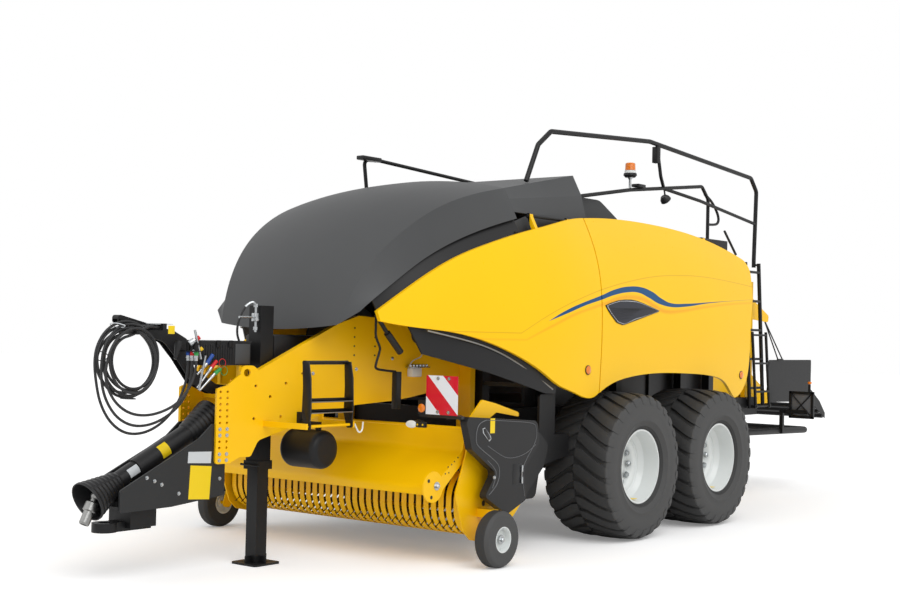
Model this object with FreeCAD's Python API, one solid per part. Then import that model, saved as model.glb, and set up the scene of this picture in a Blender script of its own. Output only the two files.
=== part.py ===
"""Large square baler, parked on its jack.

Units are millimetres.  +Z is up, -Y is forward (towards the tractor) and +X is the
machine's left side.  Everything is drawn from the point on the ground midway between
the two axles; export_nodes() then moves it so that Y = 0 is the middle of the length.
"""
import FreeCAD, Part
import math
import os

V = FreeCAD.Vector

# ---------------------------------------------------------------- driving sizes
# running gear
TYRE_D = 1190.0
TYRE_W = 620.0
TYRE_WALL = 38.0
TRACK = 2370.0
AXLE_SPACING = 1333.0
RIM_FLANGE_D = 600.0
RIM_WALL = 9.0
RIM_LIP = 14.0
HUB_D = 270.0
DRUM_D = 410.0
SPINDLE_D = 96.0
AXLE_TUBE = 150.0

# bale chamber and chassis
BALE_W = 1200.0
BALE_H = 700.0
CHAMBER_WALL = 30.0
CHAMBER_FLOOR = 1080.0
CHAMBER_FRONT = -1150.0
CHAMBER_REAR = 2900.0
BEAM_W = 80.0
BEAM_H = 180.0
POST_W = 90.0
FRAME_FRONT = -1900.0
FRAME_REAR = 2860.0

# drawbar: two plates that spread towards the rear
DRAWBAR_FRONT = -4106.0
DRAWBAR_HALF = 194.0
DRAWBAR_SPREAD = 0.18
DRAWBAR_PLATE = 20.0
DRAWBAR_FLANGE = 55.0

TIE_Y = -3876.0
GEARBOX_REAR = -1960.0
TOOLBOX_Z = 1385.0
TANK_Y = -3440.0
TANK_Z = 810.0
TANK_R = 135.0
TANK_X0 = 240.0
TANK_X1 = 590.0
STEP_X = 600.0
STEP_TOP = 1430.0
STEP_HINGE_X = 660.0
STEP_HINGE_Z = 985.0
STEP_PIN_R = 10.0

# hitch tongue
TONGUE_FRONT = -4880.0
TONGUE_PLATE = 14.0
TOW_EYE_D = 160.0
TOW_EYE_BORE = 80.0
TOW_EYE_T = 60.0
TOW_EYE_Y = -4860.0
TOW_EYE_Z = 350.0

# jack
JACK_X = 140.0
JACK_Y = -3660.0
JACK_POST = 120.0
JACK_WALL = 8.0
JACK_TOP = 1800.0
JACK_SLEEVE_BOTTOM = 660.0
JACK_FOOT_W = 250.0
JACK_FOOT_T = 14.0
SLIDE_GAP = 0.8

# flywheel
FLYWHEEL_R = 340.0
FLYWHEEL_Y = -2740.0
FLYWHEEL_Z = 1500.0

# shields: one skin surface, split behind the pickup
BODY_HALF = 1290.0
SHIELD_T = 28.0
SPLIT_GAP = 12.0
NOSE_START = -1100.0
NOSE_CURVE = 0.118
TAIL_START = 500.0
TAIL_CURVE = 0.02
SHOULDER_Z = 1600.0
SHOULDER_CURVE = 0.27
SKIRT_Z = 1500.0
SKIRT_CURVE = 0.14
SHIELD_HINGE_X = 975.0
SHIELD_HINGE_Z = 2565.0
SHIELD_HINGE_R = 12.0
HOOD_HINGE_Y = -1790.0
HOOD_HINGE_Z = 2755.0
HOOD_HINGE_R = 8.0

# platform
FRAME_TOP = 2480.0
FRAME_TOP_H = 80.0
DECK_TOP = 2520.0
DECK_REAR = 1900.0
DECK_HALF = 860.0
HUMP_HALF = 620.0
RAIL_X = 700.0
HIGH_RAIL_R = 21.0
LOW_RAIL_X = 660.0
LOW_RAIL_R = 17.0
BEACON_Y = 384.0
BEACON_RAIL_Z = 2972.0
BEACON_NECK_R = 12.0
LOW_RAIL_PEAK = (1730.0, 3131.0)
LADDER_X = 760.0
LADDER_R = 20.0
LADDER_FOOT_Y = 2940.0
LADDER_HEAD_Y = 2789.0
LADDER_SPACING = 300.0
LADDER_TIE_Z = 2415.0
LADDER_HINGE_X = 815.0
LADDER_HINGE_Z = 960.0
LADDER_HINGE_R = 10.0

# pickup
PICKUP_HALF = 1180.0
REEL_Y = -2450.0
REEL_Z = 420.0
TINE_R = 300.0
TINE_D = 6.5
BAND_R = 235.0
BAND_COUNT = 34
BAND_W = 46.0
BAND_T = 3.0
TINE_BARS = 4
PICKUP_PIVOT_Y = -1750.0
PICKUP_PIVOT_Z = 800.0
PICKUP_PIN_R = 34.0
REEL_STUB_R = 22.0
BAND_BACK = 335.0
GUARD_PIVOT_Y = -2600.0
GUARD_PIVOT_Z = 955.0
GUARD_PIVOT_R = 14.0
GAUGE_WHEEL_D = 400.0
GAUGE_WHEEL_W = 120.0
GAUGE_X = 1432.0
GAUGE_Y = -2580.0

# crop cutter
CUTTER_HALF = 1150.0
CUTTER_PLATE = 20.0
CUTTER_REAR = -1300.0
COVER_X = 1290.0
COVER_T = 60.0
ROTOR_Y = -1880.0
ROTOR_Z = 640.0
ROTOR_R = 190.0
ROTOR_STUB_R = 30.0

# driveline
PTO_REAR_Y = -3960.0
PTO_REAR_Z = 1028.0
PTO_SLOPE = 26.0
PTO_JOINT = 1079.0
PTO_RIM = 1157.0
CONE_D = 270.0
GUARD_D = 140.0
INNER_GUARD_D = 120.0
JOINT_BALL_R = 34.0
CROSS_PIN_R = 12.0
FORK_X = 36.0
FORK_T = 10.0
YOKE_LENGTH = 197.0
YOKE_DROOP = 62.7
YOKE_BORE_D = 44.0
YOKE_BORE_DEPTH = 70.0

# rear press frame
PRESS_Y = 2640.0
PRESS_POST = 150.0
PRESS_TOP = 2240.0
PRESS_ARM_REAR = 3240.0
STAY_TOP_Y = 3197.0
STAY_FEET_Y = (3550.0, 3660.0)

# chute
CHUTE_HINGE_Y = 3330.0
CHUTE_HINGE_Z = 1020.0
CHUTE_HALF = 612.0
CHUTE_PIN_R = 14.0
CHUTE_REAR = 4850.0
CHUTE_BREAK = 4450.0
CHUTE_TIP_Z = 760.0

# arm with the coiled hoses
ARM_X0 = 62.0
ARM_X1 = 122.0
ARM_WALL = 6.0
COIL_Y = -4863.0
COIL_Z = 1417.0
COIL_R = 279.0
COIL_T = 88.0
COIL_X0 = 151.0
COIL_X1 = 279.0
HOSE_D = 18.0
HOSE_EASE = 0.45
HOSE_START_X = (164.0, 204.0, 244.0)
HOSE_END_X = (184.0, 224.0, 264.0)
GLAND_Y = -4660.0
GLAND_Z = 1636.0
RACK_Y = -4358.0
RACK_Z = 1478.0
PLUG_L = 60.0
# (y, z) of each hanging hose from its plug down and forward to the coil
HOSE_ROUTES = [
    [(-4358, 1418), (-4358, 1330), (-4396, 1208), (-4474, 1088), (-4590, 996), (-4729, 949),
     (-4868, 958), (-4984, 1034), (-5060, 1150), (-5094, 1274)],
    [(-4358, 1418), (-4358, 1344), (-4380, 1232), (-4452, 1128), (-4566, 1052), (-4698, 1006),
     (-4838, 1004), (-4962, 1062), (-5046, 1166), (-5086, 1280)],
    [(-4358, 1418), (-4358, 1340), (-4412, 1236), (-4500, 1146), (-4620, 1094), (-4752, 1070),
     (-4884, 1084), (-4994, 1146), (-5064, 1238), (-5090, 1330)],
]

# fits
RUN_GAP = 0.6
SEAT_GAP = 0.3

AXLE_Z = TYRE_D / 2


# ---------------------------------------------------------------- helpers
def box(x0, x1, y0, y1, z0, z1):
    return Part.makeBox(x1 - x0, y1 - y0, z1 - z0, V(x0, y0, z0))


def rod(start, end, radius):
    start = V(*start)
    end = V(*end)
    along = end - start
    return Part.makeCylinder(radius, along.Length, start, along)


def mirrored(shape):
    return shape.mirror(V(0, 0, 0), V(1, 0, 0))


def pair(shape):
    return [shape, mirrored(shape)]


def weld(*shapes):
    """Fuse touching pieces into one solid and drop the seams between flat faces."""
    flat = []
    for shape in shapes:
        if isinstance(shape, (list, tuple)):
            flat.extend(shape)
        else:
            flat.append(shape)
    if len(flat) == 1:
        return flat[0]
    return flat[0].multiFuse(flat[1:]).removeSplitter()


def rounded_wire(corners, to_point):
    """Closed wire through (a, b, radius) corners; radius 0 or missing is sharp."""
    pts = [V(c[0], c[1], 0) for c in corners]
    radii = [c[2] if len(c) > 2 else 0 for c in corners]
    count = len(pts)
    starts = []
    ends = []
    mids = []
    for i in range(count):
        p = pts[i]
        to_prev = (pts[i - 1] - p).normalize()
        to_next = (pts[(i + 1) % count] - p).normalize()
        if radii[i] == 0:
            starts.append(p)
            ends.append(p)
            mids.append(None)
            continue
        half = to_prev.getAngle(to_next) / 2
        reach = radii[i] / math.tan(half)
        centre = p + (to_prev + to_next).normalize() * (radii[i] / math.sin(half))
        starts.append(p + to_prev * reach)
        ends.append(p + to_next * reach)
        mids.append(centre + (p - centre).normalize() * radii[i])
    edges = []
    for i in range(count):
        if mids[i] is not None:
            arc = [to_point(q) for q in (starts[i], mids[i], ends[i])]
            edges.append(Part.Arc(*arc).toShape())
        a = to_point(ends[i])
        b = to_point(starts[(i + 1) % count])
        if a.distanceToPoint(b) > 1e-6:
            edges.append(Part.LineSegment(a, b).toShape())
    return Part.Wire(edges)


def plate_x(corners, x, thickness):
    """Plate from a (y, z) outline, from x to x + thickness."""
    wire = rounded_wire(corners, lambda p: V(x, p.x, p.y))
    return Part.Face(wire).extrude(V(thickness, 0, 0))


def plate_y(corners, y, thickness):
    """Plate from an (x, z) outline, from y to y + thickness."""
    wire = rounded_wire(corners, lambda p: V(p.x, y, p.y))
    return Part.Face(wire).extrude(V(0, thickness, 0))


def plate_z(corners, z, thickness):
    """Plate from an (x, y) outline, from z to z + thickness."""
    wire = rounded_wire(corners, lambda p: V(p.x, p.y, z))
    return Part.Face(wire).extrude(V(0, 0, thickness))


def turned_x(corners, y, z):
    """Solid of revolution about the line along X through (y, z); corners are (x, r)."""
    wire = rounded_wire(corners, lambda p: V(p.x, y, z + p.y))
    return Part.Face(wire).revolve(V(0, y, z), V(1, 0, 0), 360)


def bent_rod(points, radius, bend):
    """Round bar through points, each inner point rounded by a tangent arc."""
    pts = [V(*p) for p in points]
    edges = []
    here = pts[0]
    for i in range(1, len(pts) - 1):
        to_prev = (pts[i - 1] - pts[i]).normalize()
        to_next = (pts[i + 1] - pts[i]).normalize()
        half = to_prev.getAngle(to_next) / 2
        reach = bend / math.tan(half)
        first = pts[i] + to_prev * reach
        last = pts[i] + to_next * reach
        centre = pts[i] + (to_prev + to_next).normalize() * (bend / math.sin(half))
        middle = centre + (pts[i] - centre).normalize() * bend
        edges.append(Part.LineSegment(here, first).toShape())
        edges.append(Part.Arc(first, middle, last).toShape())
        here = last
    edges.append(Part.LineSegment(here, pts[-1]).toShape())
    path = Part.Wire(edges)
    ring = Part.Wire(Part.Circle(pts[0], pts[1] - pts[0], radius).toShape())
    return path.makePipe(Part.Face(ring))


def hose_tube(points, radius):
    """Hose along straight runs, each turn an arc as wide as its two runs allow."""
    pts = [V(*p) for p in points]
    edges = []
    bends = []
    here = pts[0]
    for i in range(1, len(pts) - 1):
        before = pts[i - 1] - pts[i]
        after = pts[i + 1] - pts[i]
        reach = HOSE_EASE * min(before.Length, after.Length)
        half = before.getAngle(after) / 2
        bend = reach * math.tan(half)
        before.normalize()
        after.normalize()
        first = pts[i] + before * reach
        last = pts[i] + after * reach
        centre = pts[i] + (before + after).normalize() * (bend / math.sin(half))
        middle = centre + (pts[i] - centre).normalize() * bend
        edges.append(Part.LineSegment(here, first).toShape())
        edges.append(Part.Arc(first, middle, last).toShape())
        bends.append(bend)
        here = last
    edges.append(Part.LineSegment(here, pts[-1]).toShape())
    path = Part.Wire(edges)
    ring = Part.Wire(Part.Circle(pts[0], pts[1] - pts[0], radius).toShape())
    tube = path.makePipe(Part.Face(ring))
    print("hose length", round(path.Length), "tightest bend", round(min(bends, default=0)),
          "volume ratio", round(tube.Volume / (path.Length * math.pi * radius ** 2), 4))
    return tube


NODES = {}


def add_node(name, *shapes):
    """Keep one node's solids under its name until everything is drawn."""
    flat = []
    for shape in shapes:
        if isinstance(shape, (list, tuple)):
            flat.extend(shape)
        else:
            flat.append(shape)
    NODES[name] = flat[0] if len(flat) == 1 else Part.makeCompound(flat)


def export_nodes():
    """Write every node, moved so that the middle of the length is at Y = 0."""
    front = NODES["pto_front_guard"].optimalBoundingBox(False, False).YMin
    shift = -(front + CHUTE_REAR) / 2
    print("moved along Y by", round(shift, 3))
    for name, shape in NODES.items():
        moved = shape.copy()
        moved.translate(V(0, shift, 0))
        moved.exportStep("parts/" + name + ".step")


# ---------------------------------------------------------------- running gear
def tyre(x, y):
    """Wide flotation tyre, open towards the rim like the real carcass."""
    r = TYRE_D / 2
    half = TYRE_W / 2
    bead = RIM_FLANGE_D / 2 - RIM_LIP + SEAT_GAP
    outer = [
        (x - 235, bead), (x - 300, bead + 70, 60), (x - half, bead + 170, 90),
        (x - half + 12, r - 22, 34), (x - 150, r, 300), (x + 150, r, 300),
        (x + half - 12, r - 22, 34), (x + half, bead + 170, 90), (x + 300, bead + 70, 60),
        (x + 235, bead),
    ]
    inner = [
        (x + 235 - TYRE_WALL, bead), (x + 300 - TYRE_WALL, bead + 90, 40),
        (x + half - TYRE_WALL, bead + 170, 60), (x + half - 60, r - 75, 50),
        (x - half + 60, r - 75, 50), (x - half + TYRE_WALL, bead + 170, 60),
        (x - 300 + TYRE_WALL, bead + 90, 40), (x - 235 + TYRE_WALL, bead),
    ]
    return turned_x(outer + inner, y, AXLE_Z)


def rim(x, y):
    """Steel rim with a dished disc, hub and brake drum, bored for the spindle."""
    flange = RIM_FLANGE_D / 2
    barrel = flange - RIM_LIP
    well = barrel - 34
    hub = HUB_D / 2
    face = x + 60
    section = [
        (x + 262, flange), (x + 262, barrel), (x + 130, barrel - RIM_WALL, 8),
        (x + 90, well - RIM_WALL, 8), (face + 20, well - RIM_WALL, 10),
        (face + 34, hub + 60, 40), (face - 30, hub + 20, 20),
        (face - 30, SPINDLE_D / 2 + 30), (face - 50, SPINDLE_D / 2 + 30),
        (face - 50, SPINDLE_D / 2 + RUN_GAP), (x - 255, SPINDLE_D / 2 + RUN_GAP),
        (x - 255, DRUM_D / 2), (x - 100, DRUM_D / 2), (x - 100, hub),
        (face - 70, hub), (face - 8, hub + 60, 20), (face - 12, well - 20, 10),
        (face - 12, well - RIM_WALL), (x - 90, well - RIM_WALL, 8),
        (x - 130, barrel - RIM_WALL, 8), (x - 262, barrel - RIM_WALL),
        (x - 262, flange), (x - 254, flange), (x - 254, barrel),
        (x - 134, barrel, 8), (x - 94, well, 8), (x + 94, well, 8), (x + 134, barrel, 8),
        (x + 254, barrel), (x + 254, flange),
    ]
    return turned_x(section, y, AXLE_Z)


def bogie_frame():
    """Two axles on a pair of rocking beams, with leaf packs, seats and spindles."""
    pieces = []
    half_tube = AXLE_TUBE / 2
    axle_half = TRACK / 2 - 330
    beam_x = BALE_W / 2 + CHAMBER_WALL + 62
    for y in (-AXLE_SPACING / 2, AXLE_SPACING / 2):
        pieces.append(box(-axle_half, axle_half, y - half_tube, y + half_tube,
                          AXLE_Z - half_tube, AXLE_Z + half_tube))
        for side in (-1, 1):
            tip = side * (TRACK / 2 + 5)
            pieces.append(rod((side * axle_half, y, AXLE_Z), (tip, y, AXLE_Z), SPINDLE_D / 2))
            pieces.append(rod((side * axle_half, y, AXLE_Z),
                              (side * (TRACK / 2 - 262), y, AXLE_Z), DRUM_D / 2 - 20))
    top = CHAMBER_FLOOR - CHAMBER_WALL - BEAM_H - 20
    reach = AXLE_SPACING / 2
    seat = AXLE_Z + half_tube
    leaf = [(-reach - 110, seat), (-reach + 110, seat), (-330, top - 90, 200),
            (330, top - 90, 200), (reach - 110, seat), (reach + 110, seat),
            (reach + 110, seat + 60), (reach - 60, seat + 66, 60), (300, top - 10, 120),
            (120, top), (-120, top), (-300, top - 10, 120), (-reach + 60, seat + 66, 60),
            (-reach - 110, seat + 60)]
    for side in (-1, 1):
        middle = side * beam_x
        pieces.append(plate_x(leaf, middle - 45, 90))
        pieces.append(box(middle - 60, middle + 60, -150, 150, top - 60,
                          top + 20 - SEAT_GAP))
    return weld(pieces)


# ---------------------------------------------------------------- chassis
def beam_x_range():
    inner = BALE_W / 2 + CHAMBER_WALL + 22
    return inner, inner + BEAM_W


def main_frame():
    """Box-section side beams, cross beams and the uprights round the chamber."""
    x0, x1 = beam_x_range()
    top = CHAMBER_FLOOR - CHAMBER_WALL
    low = top - BEAM_H
    rail = FRAME_TOP - FRAME_TOP_H
    posts = (FRAME_FRONT + 40, -1000, 100, 1250, DECK_REAR - POST_W)
    pieces = []
    for side in (-1, 1):
        a, b = sorted((side * x0, side * x1))
        pieces.append(box(a, b, FRAME_FRONT, FRAME_REAR, low, top))
        for y in posts:
            pieces.append(box(a, b, y, y + POST_W, top, FRAME_TOP))
        pieces.append(box(a, b, FRAME_FRONT + 40, DECK_REAR, rail, FRAME_TOP))
        hinge = side * SHIELD_HINGE_X
        outer_a, outer_b = sorted((side * x1, hinge + side * 12))
        for y in (-1000, 100, 1250):
            pieces.append(box(outer_a, outer_b, y, y + POST_W, rail, FRAME_TOP))
            pieces.append(box(hinge - 10, hinge + 10, y + 30, y + 60, FRAME_TOP - 10,
                              SHIELD_HINGE_Z))
        pieces.append(rod((hinge, -1660, SHIELD_HINGE_Z), (hinge, 1345, SHIELD_HINGE_Z),
                          SHIELD_HINGE_R))
    for y in (FRAME_FRONT, -900, 900, FRAME_REAR - 100):
        pieces.append(box(-x0, x0, y, y + 100, low + 20, top - SEAT_GAP))
    for y in (FRAME_FRONT + 40, 100, DECK_REAR - POST_W):
        pieces.append(box(-x0, x0, y, y + POST_W, rail, FRAME_TOP))
    return weld(pieces)


def bale_chamber():
    """Open-ended duct with outer ribs."""
    half = BALE_W / 2
    wall = CHAMBER_WALL
    top = CHAMBER_FLOOR + BALE_H
    duct = box(-half - wall, half + wall, CHAMBER_FRONT, CHAMBER_REAR,
               CHAMBER_FLOOR - wall, top + wall)
    duct = duct.cut(box(-half, half, CHAMBER_FRONT - 1, CHAMBER_REAR + 1, CHAMBER_FLOOR, top))
    ribs = []
    for i in range(7):
        y = CHAMBER_FRONT + 150 + i * 600
        rib = box(-half - wall - 20, half + wall + 20, y, y + 60, CHAMBER_FLOOR, top + wall + 60)
        ribs.append(rib.cut(box(-half - 5, half + 5, y - 1, y + 61, 0, top + 5)))
    shelf = box(-half + 10, half - 10, CHAMBER_REAR - 10, CHUTE_HINGE_Y - 70,
                CHAMBER_FLOOR - wall, CHAMBER_FLOOR)
    lugs = []
    for side in (-1, 1):
        a, b = sorted((side * (half + 17), side * (half + wall)))
        back = CHUTE_HINGE_Y + 40
        lugs.append(plate_x([(CHAMBER_REAR - 200, 1056), (CHAMBER_REAR - 30, 1056),
                             (CHAMBER_REAR, 970, 20), (back, 970, 30), (back, 1075, 30),
                             (back - 120, 1110, 60), (CHAMBER_REAR - 10, 1300, 40),
                             (CHAMBER_REAR - 200, 1300)], a, b - a))
        lugs.append(rod((side * (half + 18), CHUTE_HINGE_Y, CHUTE_HINGE_Z),
                        (side * (half - 60), CHUTE_HINGE_Y, CHUTE_HINGE_Z), CHUTE_PIN_R))
    return weld([duct, shelf] + ribs + lugs)


def density_frame():
    """Yellow press frame round the rear of the chamber, standing on the side beams."""
    half = BALE_W / 2 + CHAMBER_WALL
    y0 = PRESS_Y
    foot = CHAMBER_FLOOR - CHAMBER_WALL + SEAT_GAP
    duct_top = CHAMBER_FLOOR + BALE_H + CHAMBER_WALL + SEAT_GAP
    pieces = []
    for side in (-1, 1):
        a, b = sorted((side * (half + 24), side * (half + 74)))
        pieces.append(box(a, b, y0, y0 + PRESS_POST, foot, PRESS_TOP))
        c, d = sorted((side * (half + 24), side * (half + 36)))
        root = y0 + PRESS_POST - 10
        pieces.append(plate_x([(root, 1860), (root, 2130), (root + 130, 2040, 60),
                               (PRESS_ARM_REAR, 1900, 30), (PRESS_ARM_REAR - 10, 1830, 30)],
                              c, d - c))
        x = side * (half - 150)
        pieces.append(rod((x, y0 + 90, duct_top), (x, y0 + 90, 2050), 50))
    pieces.append(box(-half - 74, half + 74, y0, y0 + PRESS_POST, 2040, PRESS_TOP))
    return weld(pieces)


# ---------------------------------------------------------------- drawbar
def on_plate(shape):
    """Swing a plate drawn straight back from the drawbar front to its spread angle."""
    angle = -math.degrees(math.atan(DRAWBAR_SPREAD))
    turned = shape.copy()
    turned.rotate(V(DRAWBAR_HALF, DRAWBAR_FRONT, 0), V(0, 0, 1), angle)
    return turned


def beside_plate(shape, outside):
    """Trim a piece so that it seats against the inner or the outer face of a plate."""
    f = DRAWBAR_FRONT
    if outside:
        away = box(-900, DRAWBAR_HALF + SEAT_GAP, f - 900, f + 3000, 0, 2600)
    else:
        away = box(DRAWBAR_HALF - DRAWBAR_PLATE - SEAT_GAP, 1600, f - 900, f + 3000, 0, 2600)
    return shape.cut(on_plate(away))


def drawbar_side():
    """One yellow side plate with its lifting eye, hole rows and top flange."""
    f = DRAWBAR_FRONT
    x = DRAWBAR_HALF - DRAWBAR_PLATE
    outline = [
        (f, 720, 20), (f, 1228, 12), (f + 80, 1250), (f + 185, 1325), (f + 185, 1385, 50),
        (f + 290, 1385, 50), (f + 330, 1352), (f + 1010, 1690), (f + 1190, 1750, 20),
        (f + 1420, 1735, 20), (f + 2350, 1735), (f + 2350, 1270), (f + 1700, 1150, 60),
        (f + 1520, 1125, 60), (f + 1180, 1100), (f + 960, 1062), (f + 640, 962), (f + 340, 870, 60),
        (f + 280, 760, 30), (f + 190, 760, 20), (f + 110, 722),
    ]
    plate = plate_x(outline, x, DRAWBAR_PLATE)
    holes = [rod((x - 5, f + 238, 1335), (x + 40, f + 238, 1335), 27)]
    for row in range(12):
        z = 745 + row * 42
        for column in (30, 85):
            holes.append(rod((x - 5, f + column, z), (x + 40, f + column, z), 9))
    for y, z in ((310, 1245), (430, 1170), (560, 1262), (300, 1020), (520, 1030), (700, 1330)):
        holes.append(rod((x - 5, f + y, z), (x + 40, f + y, z), 11))
    plate = plate.cut(Part.makeCompound(holes))
    flange = plate_x([(f + 330, 1336), (f + 330, 1352), (f + 1010, 1690), (f + 1190, 1750),
                      (f + 1420, 1735), (f + 1420, 1719), (f + 1190, 1733), (f + 1010, 1674)],
                     DRAWBAR_HALF - DRAWBAR_FLANGE, DRAWBAR_FLANGE)
    return on_plate(weld(plate, flange))


def drawbar():
    """Two side plates, their cross plates, the feet on the frame and the step's arms."""
    f = DRAWBAR_FRONT
    pieces = pair(drawbar_side())
    for y, z0, z1 in ((-2500, 1200, 1400), (GEARBOX_REAR + SEAT_GAP, 1300, 1700),
                      (TIE_Y, 1150, 1250)):
        half = DRAWBAR_HALF + DRAWBAR_SPREAD * (y - f) - DRAWBAR_PLATE / 2
        pieces.append(box(-half, half, y, y + 20, z0, z1))
    for x in (-60, 130):
        pieces.append(box(x, x + 30, TIE_Y, TIE_Y + 20, 1245, TOOLBOX_Z - SEAT_GAP))
    for side in (-1, 1):
        a, b = sorted((side * 560, side * 690))
        pieces.append(box(a, b, FRAME_FRONT - 60, FRAME_FRONT - SEAT_GAP, 880, 1500))
    for y, z1, inner in ((-3735, 1005, 258), (-3270, 1060, 336)):
        pieces.append(box(inner, STEP_HINGE_X + 15, y, y + 15, 965, 1005))
        pieces.append(box(inner, inner + 40, y, y + 15, 965, z1))
    pieces.append(rod((STEP_HINGE_X, -3735, STEP_HINGE_Z), (STEP_HINGE_X, -3255, STEP_HINGE_Z),
                      STEP_PIN_R))
    return weld(pieces)


def hitch_tongue():
    """Dark grey tongue: two side plates, a floor, and the saddle the driveline rests in."""
    f = TONGUE_FRONT
    outline = [(f, 455, 20), (f, 595, 30), (f + 300, 735, 200), (f + 500, 826, 100),
               (f + 650, 900), (f + 760, 990), (f + 880, 990), (f + 880, 505), (f + 420, 462, 200)]
    x = DRAWBAR_HALF - DRAWBAR_PLATE - TONGUE_PLATE - SEAT_GAP
    side = plate_x(outline, x, TONGUE_PLATE)
    floor = plate_x([(f + 90, 458), (f + 420, 478), (f + 870, 520), (f + 870, 534),
                     (f + 420, 492), (f + 90, 474)], -x, 2 * x)
    saddle_y = -4540
    saddle = box(-45, 45, saddle_y - 20, saddle_y + 20, 480, 700)
    groove = Part.makeCylinder(GUARD_D / 2 + SEAT_GAP, 900, along_pto(200), pto_direction())
    return weld(pair(side) + [floor, saddle.cut(groove)])


def tow_eye():
    """Coupling ring on a block bolted under the nose of the tongue."""
    y = TOW_EYE_Y
    low = TOW_EYE_Z - TOW_EYE_T / 2
    high = TOW_EYE_Z + TOW_EYE_T / 2
    ring = Part.makeCylinder(TOW_EYE_D / 2, TOW_EYE_T, V(0, y, low))
    shank = box(-60, 60, y + 50, y + 330, low, high)
    block = box(-110, 110, y + 120, y + 330, low + 20, 500)
    under = plate_x([(y - 10, 300), (y + 70, 458 - SEAT_GAP), (y + 400, 478 - SEAT_GAP),
                     (y + 400, 300)], -200, 400)
    bore = Part.makeCylinder(TOW_EYE_BORE / 2, 2 * TOW_EYE_T, V(0, y, low - 20))
    return weld(ring, shank, block.common(under)).cut(bore)


def gearbox():
    """Main gearbox and flywheel as one plain mass on the drawbar's rear cross plate."""
    wheel_back = FLYWHEEL_Y + 160
    block = box(-330, 330, -2400, GEARBOX_REAR, 1480, 2000)
    wheel = rod((0, FLYWHEEL_Y, FLYWHEEL_Z), (0, wheel_back, FLYWHEEL_Z), FLYWHEEL_R)
    housing = box(-200, 200, wheel_back - 5, -2390, 1490, 1700)
    return weld(block, wheel, housing)


def input_shaft():
    """Guarded shaft from the ball of the rear joint up to the flywheel's face."""
    joint = V(0, PTO_REAR_Y, PTO_REAR_Z)
    face = V(0, FLYWHEEL_Y - SEAT_GAP, FLYWHEEL_Z)
    line = (face - joint).normalize()
    fork = Part.makeCylinder(24, 120, joint, line)
    guard = Part.makeCylinder(42, (face - joint).Length + 60, joint + line * 90, line)
    behind = box(-200, 200, face.y, face.y + 300, 1000, 2000)
    reach = FORK_X + FORK_T
    pin = rod((-reach, joint.y, joint.z), (reach, joint.y, joint.z), CROSS_PIN_R)
    return weld(Part.makeSphere(JOINT_BALL_R, joint), fork, pin, guard.cut(behind))


def jack_sleeve():
    """Square sleeve with its collar and the bracket that seats on the drawbar plate."""
    half = JACK_POST / 2
    outer = box(JACK_X - half, JACK_X + half, JACK_Y - half, JACK_Y + half,
                JACK_SLEEVE_BOTTOM, JACK_TOP)
    inner = half - JACK_WALL
    bore = box(JACK_X - inner, JACK_X + inner, JACK_Y - inner, JACK_Y + inner,
               JACK_SLEEVE_BOTTOM - 1, JACK_TOP - 10)
    collar = box(JACK_X - half - 10, JACK_X + half + 10, JACK_Y - half - 10, JACK_Y + half + 10,
                 JACK_SLEEVE_BOTTOM, JACK_SLEEVE_BOTTOM + 60)
    bracket = box(JACK_X + half - 1, JACK_X + half + 120, JACK_Y - 50, JACK_Y + 50, 1000, 1240)
    return weld(outer, collar, beside_plate(bracket, False)).cut(bore)


def jack_leg():
    half = JACK_POST / 2 - JACK_WALL - SLIDE_GAP
    leg = box(JACK_X - half, JACK_X + half, JACK_Y - half, JACK_Y + half, JACK_FOOT_T, 1150)
    wide = JACK_FOOT_W / 2
    foot = plate_z([(JACK_X - wide, JACK_Y - wide, 30), (JACK_X + wide, JACK_Y - wide, 30),
                    (JACK_X + wide, JACK_Y + wide, 30), (JACK_X - wide, JACK_Y + wide, 30)],
                   0, JACK_FOOT_T)
    ribs = weld(box(JACK_X - 100, JACK_X + 100, JACK_Y - 5, JACK_Y + 5, JACK_FOOT_T, 60),
                box(JACK_X - 5, JACK_X + 5, JACK_Y - 100, JACK_Y + 100, JACK_FOOT_T, 60))
    return weld(leg, foot, ribs)


# ---------------------------------------------------------------- skin
def skin_x(y, z):
    """Half-width of the shield skin at (y, z)."""
    x = BODY_HALF
    x -= NOSE_CURVE * max(0, NOSE_START - y) ** 2 / 1000
    x -= TAIL_CURVE * max(0, y - TAIL_START) ** 2 / 1000
    x -= SHOULDER_CURVE * max(0, z - SHOULDER_Z) ** 2 / 1000
    x -= SKIRT_CURVE * max(0, SKIRT_Z - z) ** 2 / 1000
    return x


def skin_slab(y0, y1, z0, z1):
    """The skin surface over a (y, z) window, thickened inwards."""
    rows = []
    steps_y = 9
    steps_z = 8
    for i in range(steps_y):
        y = y0 + (y1 - y0) * i / (steps_y - 1)
        row = []
        for j in range(steps_z):
            z = z0 + (z1 - z0) * j / (steps_z - 1)
            row.append(V(skin_x(y, z), y, z))
        rows.append(row)
    surface = Part.BSplineSurface()
    surface.interpolate(rows)
    return surface.toShape().extrude(V(-SHIELD_T, 0, 0))


def curve_through(points):
    curve = Part.BSplineCurve()
    curve.interpolate([V(0, p[0], p[1]) for p in points])
    return curve.toShape()


SPLIT_LINE = [(-924, 2600), (-930, 2440), (-950, 2210), (-984, 2010), (-1026, 1720),
              (-1040, 1370), (-1040, 1190)]


def shield_blank(sides):
    """Prism across the machine's left half from boundary curves joined end to end."""
    edges = []
    for side in sides:
        edges.append(curve_through(side) if len(side) > 2 else
                     Part.LineSegment(V(0, *side[0]), V(0, *side[1])).toShape())
    return Part.Face(Part.Wire(edges)).extrude(V(2 * BODY_HALF, 0, 0))


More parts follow.
